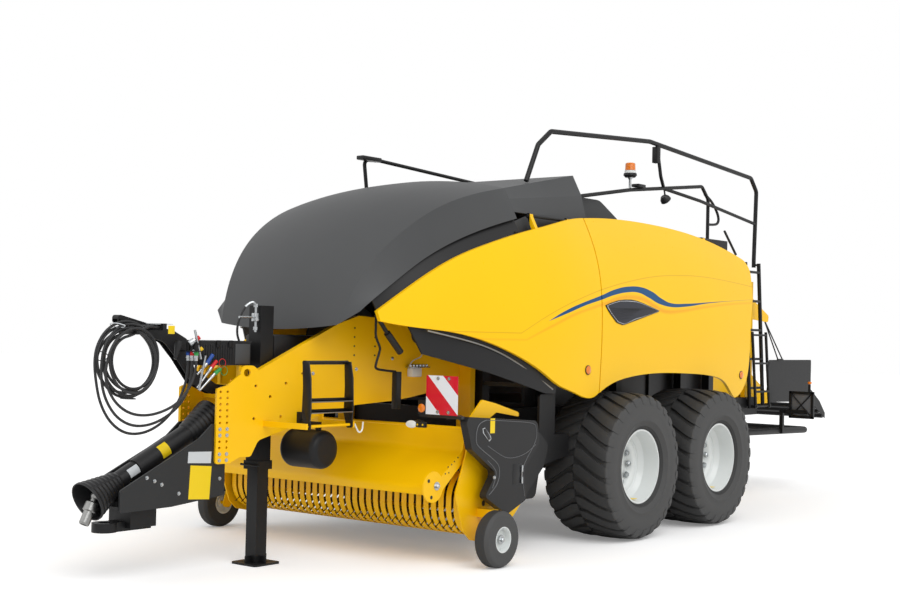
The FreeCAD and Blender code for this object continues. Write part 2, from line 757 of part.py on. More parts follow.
def shield_lug(y):
    """Hinge arm from the back of the skin up to its barrel on the hinge bar."""
    low = SHIELD_HINGE_Z - 190
    reach = skin_x(y, low) - SHIELD_T + 10
    arm = plate_y([(SHIELD_HINGE_X - 8, SHIELD_HINGE_Z - 14), (reach, low - 60),
                   (reach, low + 30), (SHIELD_HINGE_X + 12, SHIELD_HINGE_Z + 12)], y, 40)
    start = (SHIELD_HINGE_X, y, SHIELD_HINGE_Z)
    end = (SHIELD_HINGE_X, y + 40, SHIELD_HINGE_Z)
    return weld(arm, rod(start, end, SHIELD_HINGE_R + 9)).cut(rod(start, end,
                                                                  SHIELD_HINGE_R + RUN_GAP))


def front_shield():
    """Front side shield: narrow nose, long swept top edge, arched lower edge."""
    split = [(y - SPLIT_GAP / 2, z) for y, z in SPLIT_LINE]
    top = [split[0], (-1090, 2580), (-1450, 2503), (-1835, 2413), (-2170, 2316), (-2465, 2210),
           (-2735, 2073), (-2980, 1913), (-3160, 1780)]
    nose = [top[-1], (-3140, 1710)]
    low = [nose[-1], (-2850, 1669), (-2580, 1640), (-2285, 1571), (-2005, 1470),
           (-1740, 1344), (-1560, 1250), (-1370, 1194), (-1200, 1150), split[-1]]
    blank = shield_blank([top, nose, low, list(reversed(split))])
    skin = skin_slab(-3300, -800, 1000, 2700).common(blank)
    return weld([skin] + [shield_lug(y) for y in (-1640, -1120)])


def rear_shield():
    """Rear side shield with the wheel arch in its lower edge."""
    split = [(y + SPLIT_GAP / 2, z) for y, z in SPLIT_LINE]
    top = [split[0], (-420, 2632), (200, 2632), (950, 2580), (1520, 2480), (1790, 2410)]
    corner = [top[-1], (1868, 2310), (1820, 2180), (1760, 2030), (1670, 1870), (1600, 1460),
              (1570, 1290), (1460, 1150), (1330, 1100)]
    arch = [corner[-1], (1240, 1150), (1110, 1240), (890, 1300), (440, 1330), (-90, 1340),
            (-590, 1310), (-820, 1270), split[-1]]
    blank = shield_blank([top, corner, arch, list(reversed(split))])
    skin = skin_slab(-1150, 2000, 1000, 2700).common(blank)
    return weld([skin] + [shield_lug(y) for y in (-500, 1150)])


HOOD_T = 24.0
# crease half-width, and (y, z) of the outer edge and of the centre line, per section
HOOD_SECTIONS = [
    (590, 730, (-3285, 1775), (-3400, 1640)),
    (640, 760, (-3170, 1870), (-3330, 1900)),
    (700, 800, (-3010, 1990), (-3190, 2180)),
    (770, 850, (-2790, 2145), (-2960, 2430)),
    (830, 900, (-2480, 2305), (-2640, 2640)),
    (880, 950, (-2080, 2450), (-2210, 2790)),
    (880, 985, (-1800, 2530), (-1840, 2860)),
]


def hood_profile(crease, edge_x, edge, middle, inset):
    """One closed cross-section of the hood shell: edge, crease, crown and back inside."""
    edge = V(0, *edge)
    middle = V(0, *middle)
    rise = (middle - edge)
    up = V(0, rise.y, rise.z).normalize()
    shoulder = edge + rise * 0.72

    def at(x, base, drop):
        p = base - up * drop
        return V(x, p.y, p.z)

    outer = [at(edge_x, edge, 0), at(crease, shoulder, 0), at(0, middle, 0),
             at(-crease, shoulder, 0), at(-edge_x, edge, 0)]
    inner = [at(-edge_x + inset, edge, 0), at(-crease + inset, shoulder, inset),
             at(0, middle, inset), at(crease - inset, shoulder, inset), at(edge_x - inset, edge, 0)]
    edges = [
        Part.LineSegment(outer[0], outer[1]).toShape(),
        Part.Arc(outer[1], outer[2], outer[3]).toShape(),
        Part.LineSegment(outer[3], outer[4]).toShape(),
        Part.LineSegment(outer[4], inner[0]).toShape(),
        Part.LineSegment(inner[0], inner[1]).toShape(),
        Part.Arc(inner[1], inner[2], inner[3]).toShape(),
        Part.LineSegment(inner[3], inner[4]).toShape(),
        Part.LineSegment(inner[4], outer[0]).toShape(),
    ]
    return Part.Wire(edges)


def front_hood():
    """Lofted hood shell with two hinge eyes at its rear edge."""
    wires = [hood_profile(c, e, a, b, HOOD_T) for c, e, a, b in HOOD_SECTIONS]
    pieces = [Part.makeLoft(wires, True, False)]
    y = HOOD_HINGE_Y
    z = HOOD_HINGE_Z
    for side in (-1, 1):
        a = side * 500 - 50
        web = box(a, a + 100, y - 60, y - 26, z - 16, 2822)
        link = box(a, a + 100, y - 40, y, z - 16, z)
        barrel = rod((a, y, z), (a + 100, y, z), 16)
        bore = rod((a - 1, y, z), (a + 101, y, z), HOOD_HINGE_R + RUN_GAP)
        pieces.append(weld(web, link, barrel).cut(bore))
    return weld(pieces)


def cowl_section(y, low, shoulder, top, inset):
    """Closed cross-section of the cowl, wide at the bottom and chamfered on top."""
    halves = ((905 - inset, low), (850 - inset, shoulder), (760 - inset, top))
    corners = [(-x, z) for x, z in halves] + [(x, z) for x, z in reversed(halves)]
    points = [V(x, y, z) for x, z in corners]
    return Part.makePolygon(points + points[:1])


def top_cowl():
    """Fixed cowl behind the hood that rises to the work platform, with the hood's pins."""
    front = -1765
    rear = -700
    block = Part.makeLoft([cowl_section(front, 2590, 2690, 2770, 0),
                           cowl_section(rear, 2590, 2810, 2985, 0)], True, True)
    hollow = Part.makeLoft([cowl_section(front + 30, 2560, 2672, 2744, 30),
                            cowl_section(rear - 30, 2560, 2782, 2950, 30)], True, True)
    hump = plate_x([(-730, 2590), (-730, 2840), (-60, 2840, 200), (255, 2690, 80), (290, 2590)],
                   -HUMP_HALF, 2 * HUMP_HALF)
    hump_hollow = plate_x([(-690, 2560), (-690, 2810), (-72, 2810, 170), (228, 2668, 60),
                           (262, 2560)], 30 - HUMP_HALF, 2 * HUMP_HALF - 60)
    feet = []
    for side in (-1, 1):
        a, b = sorted((side * 660, side * 730))
        feet.append(box(a, b, -1640, -1560, FRAME_TOP + SEAT_GAP, 2700))
        feet.append(box(a, b, -800, -710, FRAME_TOP + SEAT_GAP, 2820))
    y = HOOD_HINGE_Y
    z = HOOD_HINGE_Z
    for side in (-1, 1):
        middle = side * 500
        for x in (middle - 68, middle + 56):
            feet.append(box(x, x + 12, y - 14, -1740, z - 30, z + 10))
        feet.append(rod((middle - 60, y, z), (middle + 60, y, z), HOOD_HINGE_R))
    return weld([weld(block, hump).cut(weld(hollow, hump_hollow))] + feet)


def knotter_deck():
    """Platform plate with a low kerb along each side."""
    low = FRAME_TOP + SEAT_GAP
    front = 95
    return weld(box(-DECK_HALF, DECK_HALF, front, DECK_REAR, low, DECK_TOP),
                box(-DECK_HALF, -DECK_HALF + 12, front, DECK_REAR, low, 2600),
                box(DECK_HALF - 12, DECK_HALF, front, DECK_REAR, low, 2600))


def handrails():
    """High and low rail on the ladder side, tied together, and a low rail on the far side."""
    x = RAIL_X
    foot = DECK_TOP + SEAT_GAP
    inner = LOW_RAIL_X
    high = bent_rod([(x, -1290, 2885), (x, -1130, 3200), (x, -950, 3330), (x, 650, 3440),
                     (x, 2700, 3310), (x, 2830, 3180), (x, LADDER_HEAD_Y + 10, 2480),
                     (x, LADDER_HEAD_Y + 10, LADDER_TIE_Z - 25)], HIGH_RAIL_R, 60)
    post = bent_rod([(x, 783, 3424), (x, 861, 3141), (inner, 990, 3044)], 16, 60)
    brace = bent_rod([(inner, 974, 3042), (x, 1624, 2979), (x, 2815, 2842)], 16, 60)
    low = bent_rod([(inner, -440, FRAME_TOP + SEAT_GAP), (inner, -440, 2840),
                    (inner, BEACON_Y, BEACON_RAIL_Z), (inner, *LOW_RAIL_PEAK), (inner, 1862, 3015),
                    (inner, 1862, foot)], LOW_RAIL_R, 50)
    far = bent_rod([(-x, -1655, 2808), (-x, -1700, 3095), (-x, -1500, 3108), (-x, -150, 3045),
                    (-x, 130, 2980), (-x, 130, foot)], 16, 45)
    return weld(high, post, brace, low), far


def beacon():
    """Orange flashing beacon on a thin neck that stands on the low rail."""
    x = LOW_RAIL_X
    rise = (LOW_RAIL_PEAK[1] - BEACON_RAIL_Z) / (LOW_RAIL_PEAK[0] - BEACON_Y)
    z = BEACON_RAIL_Z + LOW_RAIL_R + BEACON_NECK_R * rise + SEAT_GAP
    neck = rod((x, BEACON_Y, z), (x, BEACON_Y, 3100), BEACON_NECK_R)
    base = rod((x, BEACON_Y, 3092), (x, BEACON_Y, 3128), 62)
    lens = Part.makeCone(60, 50, 90, V(x, BEACON_Y, 3128))
    return weld(neck, base, lens)


# ---------------------------------------------------------------- pickup
def pickup_sides():
    """Yellow end shield, bored for the reel's stub and the wind guard's pivot."""
    outline = [(-2780, 505, 100), (-2680, 240, 60), (-2600, 170, 30), (-2400, 130, 60),
               (-2080, 300, 80), (-1700, 640, 60), (-1640, 800, 60), (-1760, 900, 60),
               (-2500, 960), (-2560, 1010, 20), (-2680, 1010, 20), (-2660, 800, 40)]
    x = PICKUP_HALF + 20
    bores = [rod((x - 5, REEL_Y, REEL_Z), (x + 20, REEL_Y, REEL_Z), REEL_STUB_R + RUN_GAP),
             rod((x - 5, GUARD_PIVOT_Y, GUARD_PIVOT_Z), (x + 20, GUARD_PIVOT_Y, GUARD_PIVOT_Z),
                 GUARD_PIVOT_R + RUN_GAP)]
    return plate_x(outline, x, 12).cut(Part.makeCompound(bores))


def pickup_frame():
    """End shields, deck, beam, pivot pins, cover posts and the gauge wheels' arms."""
    half = PICKUP_HALF + 26
    y = GAUGE_Y
    pieces = pair(pickup_sides())
    pieces.append(plate_x([(-2562, 947), (-2562, 965), (-2100, 873), (-2100, 861)],
                          -half, 2 * half))
    pieces.append(box(-half, half, -2150, -2110, 740, 800))
    for side in (-1, 1):
        pieces.append(rod((side * (CUTTER_HALF + 1), PICKUP_PIVOT_Y, PICKUP_PIVOT_Z),
                          (side * half, PICKUP_PIVOT_Y, PICKUP_PIVOT_Z), PICKUP_PIN_R))
        for post_y, post_z in ((-2400, 860), (-2280, 600)):
            pieces.append(rod((side * half, post_y, post_z),
                              (side * (COVER_X - SEAT_GAP), post_y, post_z), 18))
        a, b = sorted((side * half, side * (half + 14)))
        pieces.append(plate_x([(-2648, 960, 20), (-2640, 1040, 20), (-2501, 1165, 25),
                               (-2340, 1135, 30), (-2050, 1062, 20), (-2050, 1030, 10),
                               (-2330, 1070, 40), (-2470, 1000, 60), (-2480, 940, 20)],
                              a, b - a))
        c, d = sorted((side * half, side * (GAUGE_X - 90)))
        pieces.append(box(c, d, y + 50, y + 110, 330, 390))
        e, g = sorted((side * (GAUGE_X - 90), side * (GAUGE_X - 74)))
        pieces.append(plate_x([(y - 40, 170, 30), (y + 40, 160, 30), (y + 120, 330, 20),
                               (y + 120, 390, 20), (y + 30, 390, 20)], e, g - e))
        pieces.append(rod((side * (GAUGE_X - 80), y, GAUGE_WHEEL_D / 2),
                          (side * (GAUGE_X + 30), y, GAUGE_WHEEL_D / 2), 14))
    return weld(pieces)


def band_profile():
    """Stripper band wrapped round the reel and running back over the top."""
    outer = BAND_R
    back = REEL_Y + BAND_BACK
    low = REEL_Z - outer + 35
    wire = rounded_wire([(back, REEL_Z + 250), (REEL_Y, REEL_Z + outer + 8, outer * 0.9),
                         (REEL_Y - outer, REEL_Z + outer, outer * 0.9),
                         (REEL_Y - outer, REEL_Z - outer, outer * 0.9),
                         (REEL_Y + 60, REEL_Z - outer, 120), (back, low + 180),
                         (back, low + 186), (REEL_Y + 57, REEL_Z - outer + 4, 116),
                         (REEL_Y - outer + BAND_T, REEL_Z - outer + BAND_T, outer * 0.9 - BAND_T),
                         (REEL_Y - outer + BAND_T, REEL_Z + outer - BAND_T, outer * 0.9 - BAND_T),
                         (REEL_Y, REEL_Z + outer + 4, outer * 0.85), (back, REEL_Z + 246)],
                        lambda p: V(0, p.x, p.y))
    return Part.Face(wire)


def pickup_bands():
    """Row of curved stripper bands on two cross rails."""
    pitch = 2 * PICKUP_HALF / BAND_COUNT
    face = band_profile()
    bands = []
    for i in range(BAND_COUNT):
        x = -PICKUP_HALF + pitch * i + (pitch - BAND_W) / 2
        one = face.copy()
        one.translate(V(x, 0, 0))
        bands.append(one.extrude(V(BAND_W, 0, 0)))
    back = REEL_Y + BAND_BACK
    end = PICKUP_HALF + 20 - SEAT_GAP
    rails = [box(-end, end, back - 25, back, REEL_Z + 240, REEL_Z + 262),
             box(-end, end, back - 25, back, REEL_Z - 30, REEL_Z - 8)]
    return weld(bands + rails)


def pickup_reel():
    """Tine reel: drum tube, end discs, tine bars and double spring tines."""
    drum = rod((-PICKUP_HALF + 6, REEL_Y, REEL_Z), (PICKUP_HALF - 6, REEL_Y, REEL_Z), 60)
    stubs = rod((-PICKUP_HALF - 28, REEL_Y, REEL_Z), (PICKUP_HALF + 28, REEL_Y, REEL_Z),
                REEL_STUB_R)
    pieces = [drum, stubs]
    pitch = 2 * PICKUP_HALF / BAND_COUNT
    for x in (-PICKUP_HALF + 10, 0, PICKUP_HALF - 20):
        pieces.append(rod((x, REEL_Y, REEL_Z), (x + 8, REEL_Y, REEL_Z), 165))
    bar_r = 150
    for k in range(TINE_BARS):
        angle = 2 * math.pi * k / TINE_BARS + math.radians(35)
        cy = REEL_Y + bar_r * math.cos(angle)
        cz = REEL_Z + bar_r * math.sin(angle)
        pieces.append(rod((-PICKUP_HALF + 10, cy, cz), (PICKUP_HALF - 12, cy, cz), 14))
        ty = REEL_Y + TINE_R * math.cos(angle)
        tz = REEL_Z + TINE_R * math.sin(angle)
        for i in range(1, BAND_COUNT):
            x = -PICKUP_HALF + pitch * i
            pieces.append(rod((x, cy, cz), (x, ty, tz), TINE_D / 2))
    return weld(pieces)


def wind_guard():
    """Swinging guard sheet with its pivot tube, end arms and adjusting discs."""
    half = PICKUP_HALF - 10
    y = GUARD_PIVOT_Y
    z = GUARD_PIVOT_Z
    sheet = plate_x([(y - 12, z), (-2650, 800, 60), (-2950, 560, 60), (-2962, 505),
                     (-2954, 503), (-2942, 556, 54), (-2642, 794, 54), (y - 4, z)],
                    -half, 2 * half)
    end = PICKUP_HALF + 25
    pivot = rod((-end, y, z), (end, y, z), GUARD_PIVOT_R)
    pieces = [sheet, pivot]
    for side in (-1, 1):
        a, b = sorted((side * (half - 2), side * (half + 10)))
        pieces.append(plate_x([(y - 24, z + 22, 18), (-2674, 800, 50), (-2940, 610), (-2900, 530),
                               (-2640, 740, 50), (y + 22, z - 30, 18), (y + 22, z + 22, 18)],
                              a, b - a))
        pieces.append(rod((a, -2988, 571), (b, -2988, 571), 108))
    return weld(pieces)


def gauge_tyre(side):
    half = GAUGE_WHEEL_W / 2
    r = GAUGE_WHEEL_D / 2
    x = side * GAUGE_X
    ring = [(x - half, 92), (x - half, r - 20, 22), (x - half + 26, r, 26), (x + half - 26, r, 26),
            (x + half, r - 20, 22), (x + half, 92)]
    return turned_x(ring, GAUGE_Y, r)


def gauge_rim(side):
    half = GAUGE_WHEEL_W / 2
    r = 92
    x = side * GAUGE_X
    ring = [(x - half + 2, r - SEAT_GAP), (x - half + 2, r - 8), (x - 8, r - 12), (x - 8, 40),
            (x - 36, 40), (x - 36, 14 + RUN_GAP), (x + 28, 14 + RUN_GAP), (x + 28, 40), (x + 8, 40),
            (x + 8, r - 12), (x + half - 2, r - 8), (x + half - 2, r - SEAT_GAP)]
    return turned_x(ring, GAUGE_Y, GAUGE_WHEEL_D / 2)


# ---------------------------------------------------------------- crop cutter
def cutter_box():
    """Rotor housing under the side beams, open in front and behind."""
    half = CUTTER_HALF
    top = CHAMBER_FLOOR - CHAMBER_WALL - BEAM_H - SEAT_GAP
    bores = []
    pieces = []
    for side in (-1, 1):
        a, b = sorted((side * half, side * (half + CUTTER_PLATE)))
        pieces.append(plate_x([(-1990, top), (-1990, 560, 60), (-1900, 400, 60),
                               (-1745, 400, 60), (-1690, 640, 40), (CUTTER_REAR, 700, 40),
                               (CUTTER_REAR, top), (-1500, top), (-1500, 1185, 20), (-1710, 1185, 20),
                               (-1710, top)], a, b - a))
        bores.append(rod((a - 1, PICKUP_PIVOT_Y, PICKUP_PIVOT_Z),
                         (b + 1, PICKUP_PIVOT_Y, PICKUP_PIVOT_Z), PICKUP_PIN_R + RUN_GAP))
        bores.append(rod((a - 1, ROTOR_Y, ROTOR_Z), (b + 1, ROTOR_Y, ROTOR_Z),
                         ROTOR_STUB_R + RUN_GAP))
    pieces.append(box(-half, half, -1960, CUTTER_REAR, top - 15, top))
    pieces.append(box(-half, half, -1900, -1770, 400, 415))
    return weld(pieces).cut(Part.makeCompound(bores))


def feeder_rotor():
    """Rotor drum with star plates that feed crop through the knives."""
    y = ROTOR_Y
    z = ROTOR_Z
    r = ROTOR_R
    end = CUTTER_HALF + CUTTER_PLATE / 2
    pieces = [rod((-1130, y, z), (1130, y, z), 100), rod((-end, y, z), (end, y, z), ROTOR_STUB_R)]
    for i in range(17):
        x = -1085 + i * 135
        pieces.append(plate_x([(y - r, z, 15), (y - 70, z + 80), (y, z + r, 15), (y + 80, z + 70),
                               (y + r, z, 15), (y + 70, z - 80), (y, z - r, 15),
                               (y - 80, z - 70)], x, 10))
    return weld(pieces)


def cutter_cover():
    """Black moulded side cover of the crop cutter, drawn for the left side."""
    outline = [(-2860, 1060, 40), (-1990, 1005, 60), (-1960, 840, 60), (-2145, 660, 60),
               (-2110, 435, 40), (-2350, 345, 30), (-2620, 490, 30), (-2490, 650, 40),
               (-2780, 830, 40)]
    return plate_x(outline, COVER_X, COVER_T)


# ---------------------------------------------------------------- front fittings
def air_tank():
    """Brake air tank hung from the outer face of the left drawbar plate."""
    y = TANK_Y
    top = TANK_Z + TANK_R - 8
    pieces = [turned_x([(TANK_X0, 0), (TANK_X0, TANK_R, 50), (TANK_X1, TANK_R, 50),
                        (TANK_X1, 0)], y, TANK_Z)]
    hanger = box(280, 345, y - 20, y + 20, top, 1060)
    pieces.append(beside_plate(hanger, True))
    pieces.append(box(340, TANK_X1 - 70, y - 15, y + 15, 975, 1000))
    pieces.append(box(TANK_X1 - 100, TANK_X1 - 70, y - 15, y + 15, top, 1000))
    return weld(pieces)


def side_step():
    """Fold-down step frame; its dog-leg arms turn on the pin outside the air tank."""
    x = STEP_X
    out = STEP_HINGE_X
    z = STEP_HINGE_Z
    top = STEP_TOP
    arm = [(x, top, 12), (x + 30, top, 12), (x + 40, 1250, 60), (x + 44, 1070, 60),
           (out + 22, z + 35, 14), (out + 22, z - 23, 14), (out - 24, z - 23, 14),
           (x + 4, 1060, 60), (x + 10, 1250, 60)]
    pieces = [plate_y(arm, -3710, 14), plate_y(arm, -3294, 14)]
    pieces.append(box(x + 4, x + 26, -3704, -3286, top - 28, top - 8))
    for rung_z in (1160, 1085):
        pieces.append(rod((x + 23, -3700, rung_z), (x + 23, -3290, rung_z), 13))
    bore = rod((out, -3720, z), (out, -3270, z), STEP_PIN_R + RUN_GAP)
    return weld(pieces).cut(bore)


def toolbox():
    """Flat box on the posts of the drawbar's front cross plate."""
    body = box(-80, 165, -4230, -3780, TOOLBOX_Z, 1540)
    lid = box(-86, 171, -4236, -3774, 1540, 1552)
    return weld(body, lid)


def hose_arm():
    """Channel arm from the front cross plate, with the coil's peg, gland block and rack."""
    start = TIE_Y - SEAT_GAP
    outline = [(start, 1190), (start, 1245), (-4050, 1256, 60), (-4246, 1360, 30),
               (-4310, 1556, 60), (-4430, 1612, 60), (-4640, 1655), (-4890, 1712, 20),
               (-4890, 1660, 20), (-4800, 1625), (-4510, 1535, 80), (-4400, 1425, 60),
               (-4265, 1262, 60), (-4090, 1190, 40)]
    arm = plate_x(outline, ARM_X0, ARM_X1 - ARM_X0)
    inner = plate_x(outline, ARM_X0 + ARM_WALL, ARM_X1 - ARM_X0 - 2 * ARM_WALL)
    inner.translate(V(0, 0, -ARM_WALL))
    end_plate = box(ARM_X0, ARM_X1, start - 8, start, 1190, 1245)
    inside = COIL_R - COIL_T
    peg_r = 12
    peg_z = COIL_Z + inside - peg_r - SEAT_GAP
    peg = rod((ARM_X1 - 4, COIL_Y, peg_z), (COIL_X1 + 12, COIL_Y, peg_z), peg_r)
    web = box(ARM_X1 - ARM_WALL, ARM_X1 + 8, COIL_Y - 14, COIL_Y + 14, peg_z - peg_r, 1680)
    gland = box(ARM_X1 - 4, COIL_X1 + 6, GLAND_Y, GLAND_Y + 30, GLAND_Z - 22, GLAND_Z + 22)
    rack = box(ARM_X1 - 4, COIL_X1 + 6, RACK_Y - 20, RACK_Y + 20, RACK_Z, RACK_Z + 8)
    pieces = [arm.cut(inner), end_plate, web, peg, gland, rack]
    for x in HOSE_END_X:
        pieces.append(rod((x, RACK_Y, RACK_Z + 6), (x, RACK_Y, RACK_Z + 58), 14))
    return weld(pieces)


def hose_coil():
    """Outer shape of the hose turns that hang on the peg."""
    inside = COIL_R - COIL_T
    return turned_x([(COIL_X0, inside, 20), (COIL_X1, inside, 20), (COIL_X1, COIL_R, 20),
                     (COIL_X0, COIL_R, 20)], COIL_Y, COIL_Z)


def hose_tails():
    """Hoses from the gland block into the coil, and from the coil down and up to the plugs."""
    tubes = []
    for start_x, end_x, route in zip(HOSE_START_X, HOSE_END_X, HOSE_ROUTES):
        tubes.append(rod((start_x, GLAND_Y, GLAND_Z), (start_x, GLAND_Y - 70, GLAND_Z),
                         HOSE_D / 2))
        tubes.append(hose_tube([(end_x, y, z) for y, z in route], HOSE_D / 2))
    return tubes


def hose_plugs():
    """Quick-coupler plugs on the ends of the hoses, parked under the rack."""
    plugs = []
    for x in HOSE_END_X:
        top = RACK_Z - SEAT_GAP
        plugs.append(weld(rod((x, RACK_Y, top - 24), (x, RACK_Y, top), 15),
                          rod((x, RACK_Y, RACK_Z - PLUG_L), (x, RACK_Y, top - 20), 12)))
    return plugs


# ---------------------------------------------------------------- driveline
def pto_direction():
    angle = math.radians(PTO_SLOPE)
    return V(0, -math.cos(angle), -math.sin(angle))


def along_pto(distance):
    """Point at a distance forward of the rear universal joint."""
    return V(0, PTO_REAR_Y, PTO_REAR_Z) + pto_direction() * distance


def pto_turned(corners):
    """Solid of revolution about the driveline; corners are (distance, radius)."""
    line = pto_direction()
    side = V(1, 0, 0)
    origin = along_pto(0)
    wire = rounded_wire(corners, lambda p: origin + line * p.x + side * p.y)
    return Part.Face(wire).revolve(origin, line, 360)


def bellows(start, end, small, large, ribs):
    """Ribbed outline from the small end to the large end of a guard cone."""
    outline = []
    step = (end - start) / ribs
    for i in range(ribs):
        outline.append((start + step * i, small + (large - small) * i / ribs))
        outline.append((start + step * (i + 0.5), small + (large - small) * (i + 1) / ribs))
    return outline + [(end, large)]


def pto_block(x0, x1, near, far, half):
    """Block along the driveline between two distances, half as thick each way."""
    line = pto_direction()
    across = V(0, line.z, -line.y)
    corners = [along_pto(near) - across * half, along_pto(far) - across * half,
               along_pto(far) + across * half, along_pto(near) + across * half]
    wire = Part.makePolygon([c + V(x0, 0, 0) for c in corners + corners[:1]])
    return Part.Face(wire).extrude(V(x1 - x0, 0, 0))


def pto_rear():
    """Rear guard: ribbed cone, outer guard tube, and the fork that turns on the cross pin."""
    r = GUARD_D / 2
    cone = CONE_D / 2
    guide = INNER_GUARD_D / 2 + RUN_GAP
    section = [(740, r), (270, r)] + bellows(268, 20, r + 4, cone, 8)
    section += [(20, cone - 7), (255, r - 6), (275, r - 6), (275, 33), (10, 33), (10, 0),
                (290, 0), (290, r - 6), (700, r - 6), (700, guide), (740, guide)]
    cup = Part.makeSphere(JOINT_BALL_R + RUN_GAP, along_pto(0))
    reach = FORK_X + FORK_T
    ears = [pto_block(a, a + FORK_T, -14, 60, 14) for a in (-reach, FORK_X)]
    base = pto_block(-reach, reach, 44, 60, 14)
    joint = along_pto(0)
    bore = rod((-reach - 1, joint.y, joint.z), (reach + 1, joint.y, joint.z),
               CROSS_PIN_R + RUN_GAP)
    return weld(pto_turned(section), ears, base).cut(cup).cut(bore)


def pto_front():
    """Front guard: inner guard tube and ribbed cone that telescope in the rear guard."""
    r = INNER_GUARD_D / 2
    cone = CONE_D / 2
    end = PTO_JOINT - 10
    section = [(430, r), (895, r)] + bellows(897, PTO_RIM, r + 5, cone, 8)
    section += [(PTO_RIM, cone - 7), (905, r - 6), (900, r - 6), (900, 38), (end, 38), (end, 0),
                (880, 0), (880, r - 6), (430, r - 6)]
    cup = Part.makeSphere(JOINT_BALL_R + RUN_GAP, along_pto(PTO_JOINT))
    return pto_turned(section).cut(cup)


def pto_yoke():
    """Steel yoke on the front joint, hanging below the line of the shaft."""
    joint = along_pto(PTO_JOINT)
    angle = math.radians(YOKE_DROOP)
    line = V(0, -math.cos(angle), -math.sin(angle))
    side = V(1, 0, 0)
    end = YOKE_LENGTH
    section = [(0, 0), (0, 24), (42, 24), (54, 46), (105, 46), (112, 34), (end - 12, 34),
               (end, 30), (end, YOKE_BORE_D / 2), (end - YOKE_BORE_DEPTH, YOKE_BORE_D / 2),
               (end - YOKE_BORE_DEPTH, 0)]
    wire = rounded_wire(section, lambda p: joint + line * p.x + side * p.y)
    body = Part.Face(wire).revolve(joint, line, 360)
    return weld(body, Part.makeSphere(JOINT_BALL_R, joint))


# ---------------------------------------------------------------- rear
def bale_chute():
    """Roller chute: side boards, hinge tube, rollers and the drooping tip."""
    half = CHUTE_HALF
    y = CHUTE_HINGE_Y
    pieces = []
    for side in (-1, 1):
        a, b = sorted((side * half, side * (half - 10)))
        pieces.append(plate_x([(y + 10, 1060), (y + 60, 1430, 20), (CHUTE_BREAK, 1430, 20),
                               (CHUTE_BREAK, 1100), (4700, 960, 60),
                               (CHUTE_REAR, CHUTE_TIP_Z + 60), (CHUTE_REAR, CHUTE_TIP_Z),
                               (CHUTE_BREAK, 960), (y - 40, 980, 20), (y - 40, 1060)], a, b - a))
    for i in range(9):
        roller_y = y + 130 + i * 125
        pieces.append(rod((-half + 5, roller_y, 1010), (half - 5, roller_y, 1010), 30))
    for i in range(3):
        tip_y = 4580 + i * 105
        tip_z = 900 - i * 55
        pieces.append(rod((-half + 5, tip_y, tip_z), (half - 5, tip_y, tip_z), 28))
    start = (-half, y, CHUTE_HINGE_Z)
    end = (half, y, CHUTE_HINGE_Z)
    pieces.append(rod((-half + 5, y, CHUTE_HINGE_Z), (half - 5, y, CHUTE_HINGE_Z), 24))
    return weld(pieces).cut(rod(start, end, CHUTE_PIN_R + RUN_GAP))


def chute_stays():
    """Stay bars that hang from the rear arms beside the chute's side boards."""
    half = BALE_W / 2 + CHAMBER_WALL
    x = half + 3
    top = 1862
    low = 1434
    pieces = [rod((x, STAY_TOP_Y, top), (x, foot, low), 7) for foot in STAY_FEET_Y]
    pieces.append(rod((half - 8, STAY_TOP_Y, top), (half + 24 - SEAT_GAP, STAY_TOP_Y, top), 11))
    pieces.append(rod((x, STAY_FEET_Y[0] - 10, low), (x, STAY_FEET_Y[1] + 10, low), 9))
    return pair(weld(pieces))


def rear_bumper():
    """Tube bent round under the chute, with feet on the beams and light brackets."""
    x = 640
    z = 690
    under = CHAMBER_FLOOR - CHAMBER_WALL - BEAM_H - SEAT_GAP
    tube = bent_rod([(x, 2150, under - 25), (x, 2260, z), (x, 4300, z - 40), (-x, 4300, z - 40),
                     (-x, 2260, z), (-x, 2150, under - 25)], 35, 90)
    pieces = [tube]
    for side in (-1, 1):
        a, b = sorted((side * 600, side * 725))
        pieces.append(box(a, b, 2090, 2200, under - 20, under))
        c, d = sorted((side * 655, side * 695))
        pieces.append(box(c, d, 3560, 3600 - SEAT_GAP, 640, 900))
        e, g = sorted((side * 655, side * 960))
        pieces.append(box(e, g, 3570, 3600 - SEAT_GAP, 860, 900))
    return weld(pieces)


def rear_ladder():
    """Side ladder from the beam up to the high rail's foot, with the lower step's pin."""
    x = LADDER_X
    outer_beam = beam_x_range()[1] + SEAT_GAP
    z0 = 940
    z1 = 2430
    front = LADDER_FOOT_Y - LADDER_SPACING
    lean = (LADDER_FOOT_Y - LADDER_HEAD_Y) / (z1 - z0)
    pieces = []
    for foot_y in (front, LADDER_FOOT_Y):
        head_y = foot_y - lean * (z1 - z0)
        pieces.append(rod((x, foot_y, z0), (x, head_y, z1), LADDER_R))
    for i in range(5):
        z = 1147 + i * 297
        shift = (z - z0) * lean
        pieces.append(box(x - 18, x + 18, front - shift, LADDER_FOOT_Y - shift, z - 12, z + 12))
    pieces.append(box(outer_beam, x, front - 15, front + 15, 960, 1030))
    pieces.append(rod((RAIL_X + HIGH_RAIL_R + SEAT_GAP, LADDER_HEAD_Y + 10, LADDER_TIE_Z),
                      (x, LADDER_HEAD_Y + 10, LADDER_TIE_Z), 10))
    for y in (front - 10, LADDER_FOOT_Y - 6):
        pieces.append(box(x, LADDER_HINGE_X + 14, y, y + 12, LADDER_HINGE_Z - 16,
                          LADDER_HINGE_Z + 14))
    pieces.append(rod((LADDER_HINGE_X, front - 10, LADDER_HINGE_Z),
                      (LADDER_HINGE_X, LADDER_FOOT_Y + 54, LADDER_HINGE_Z), LADDER_HINGE_R))
    return weld(pieces)


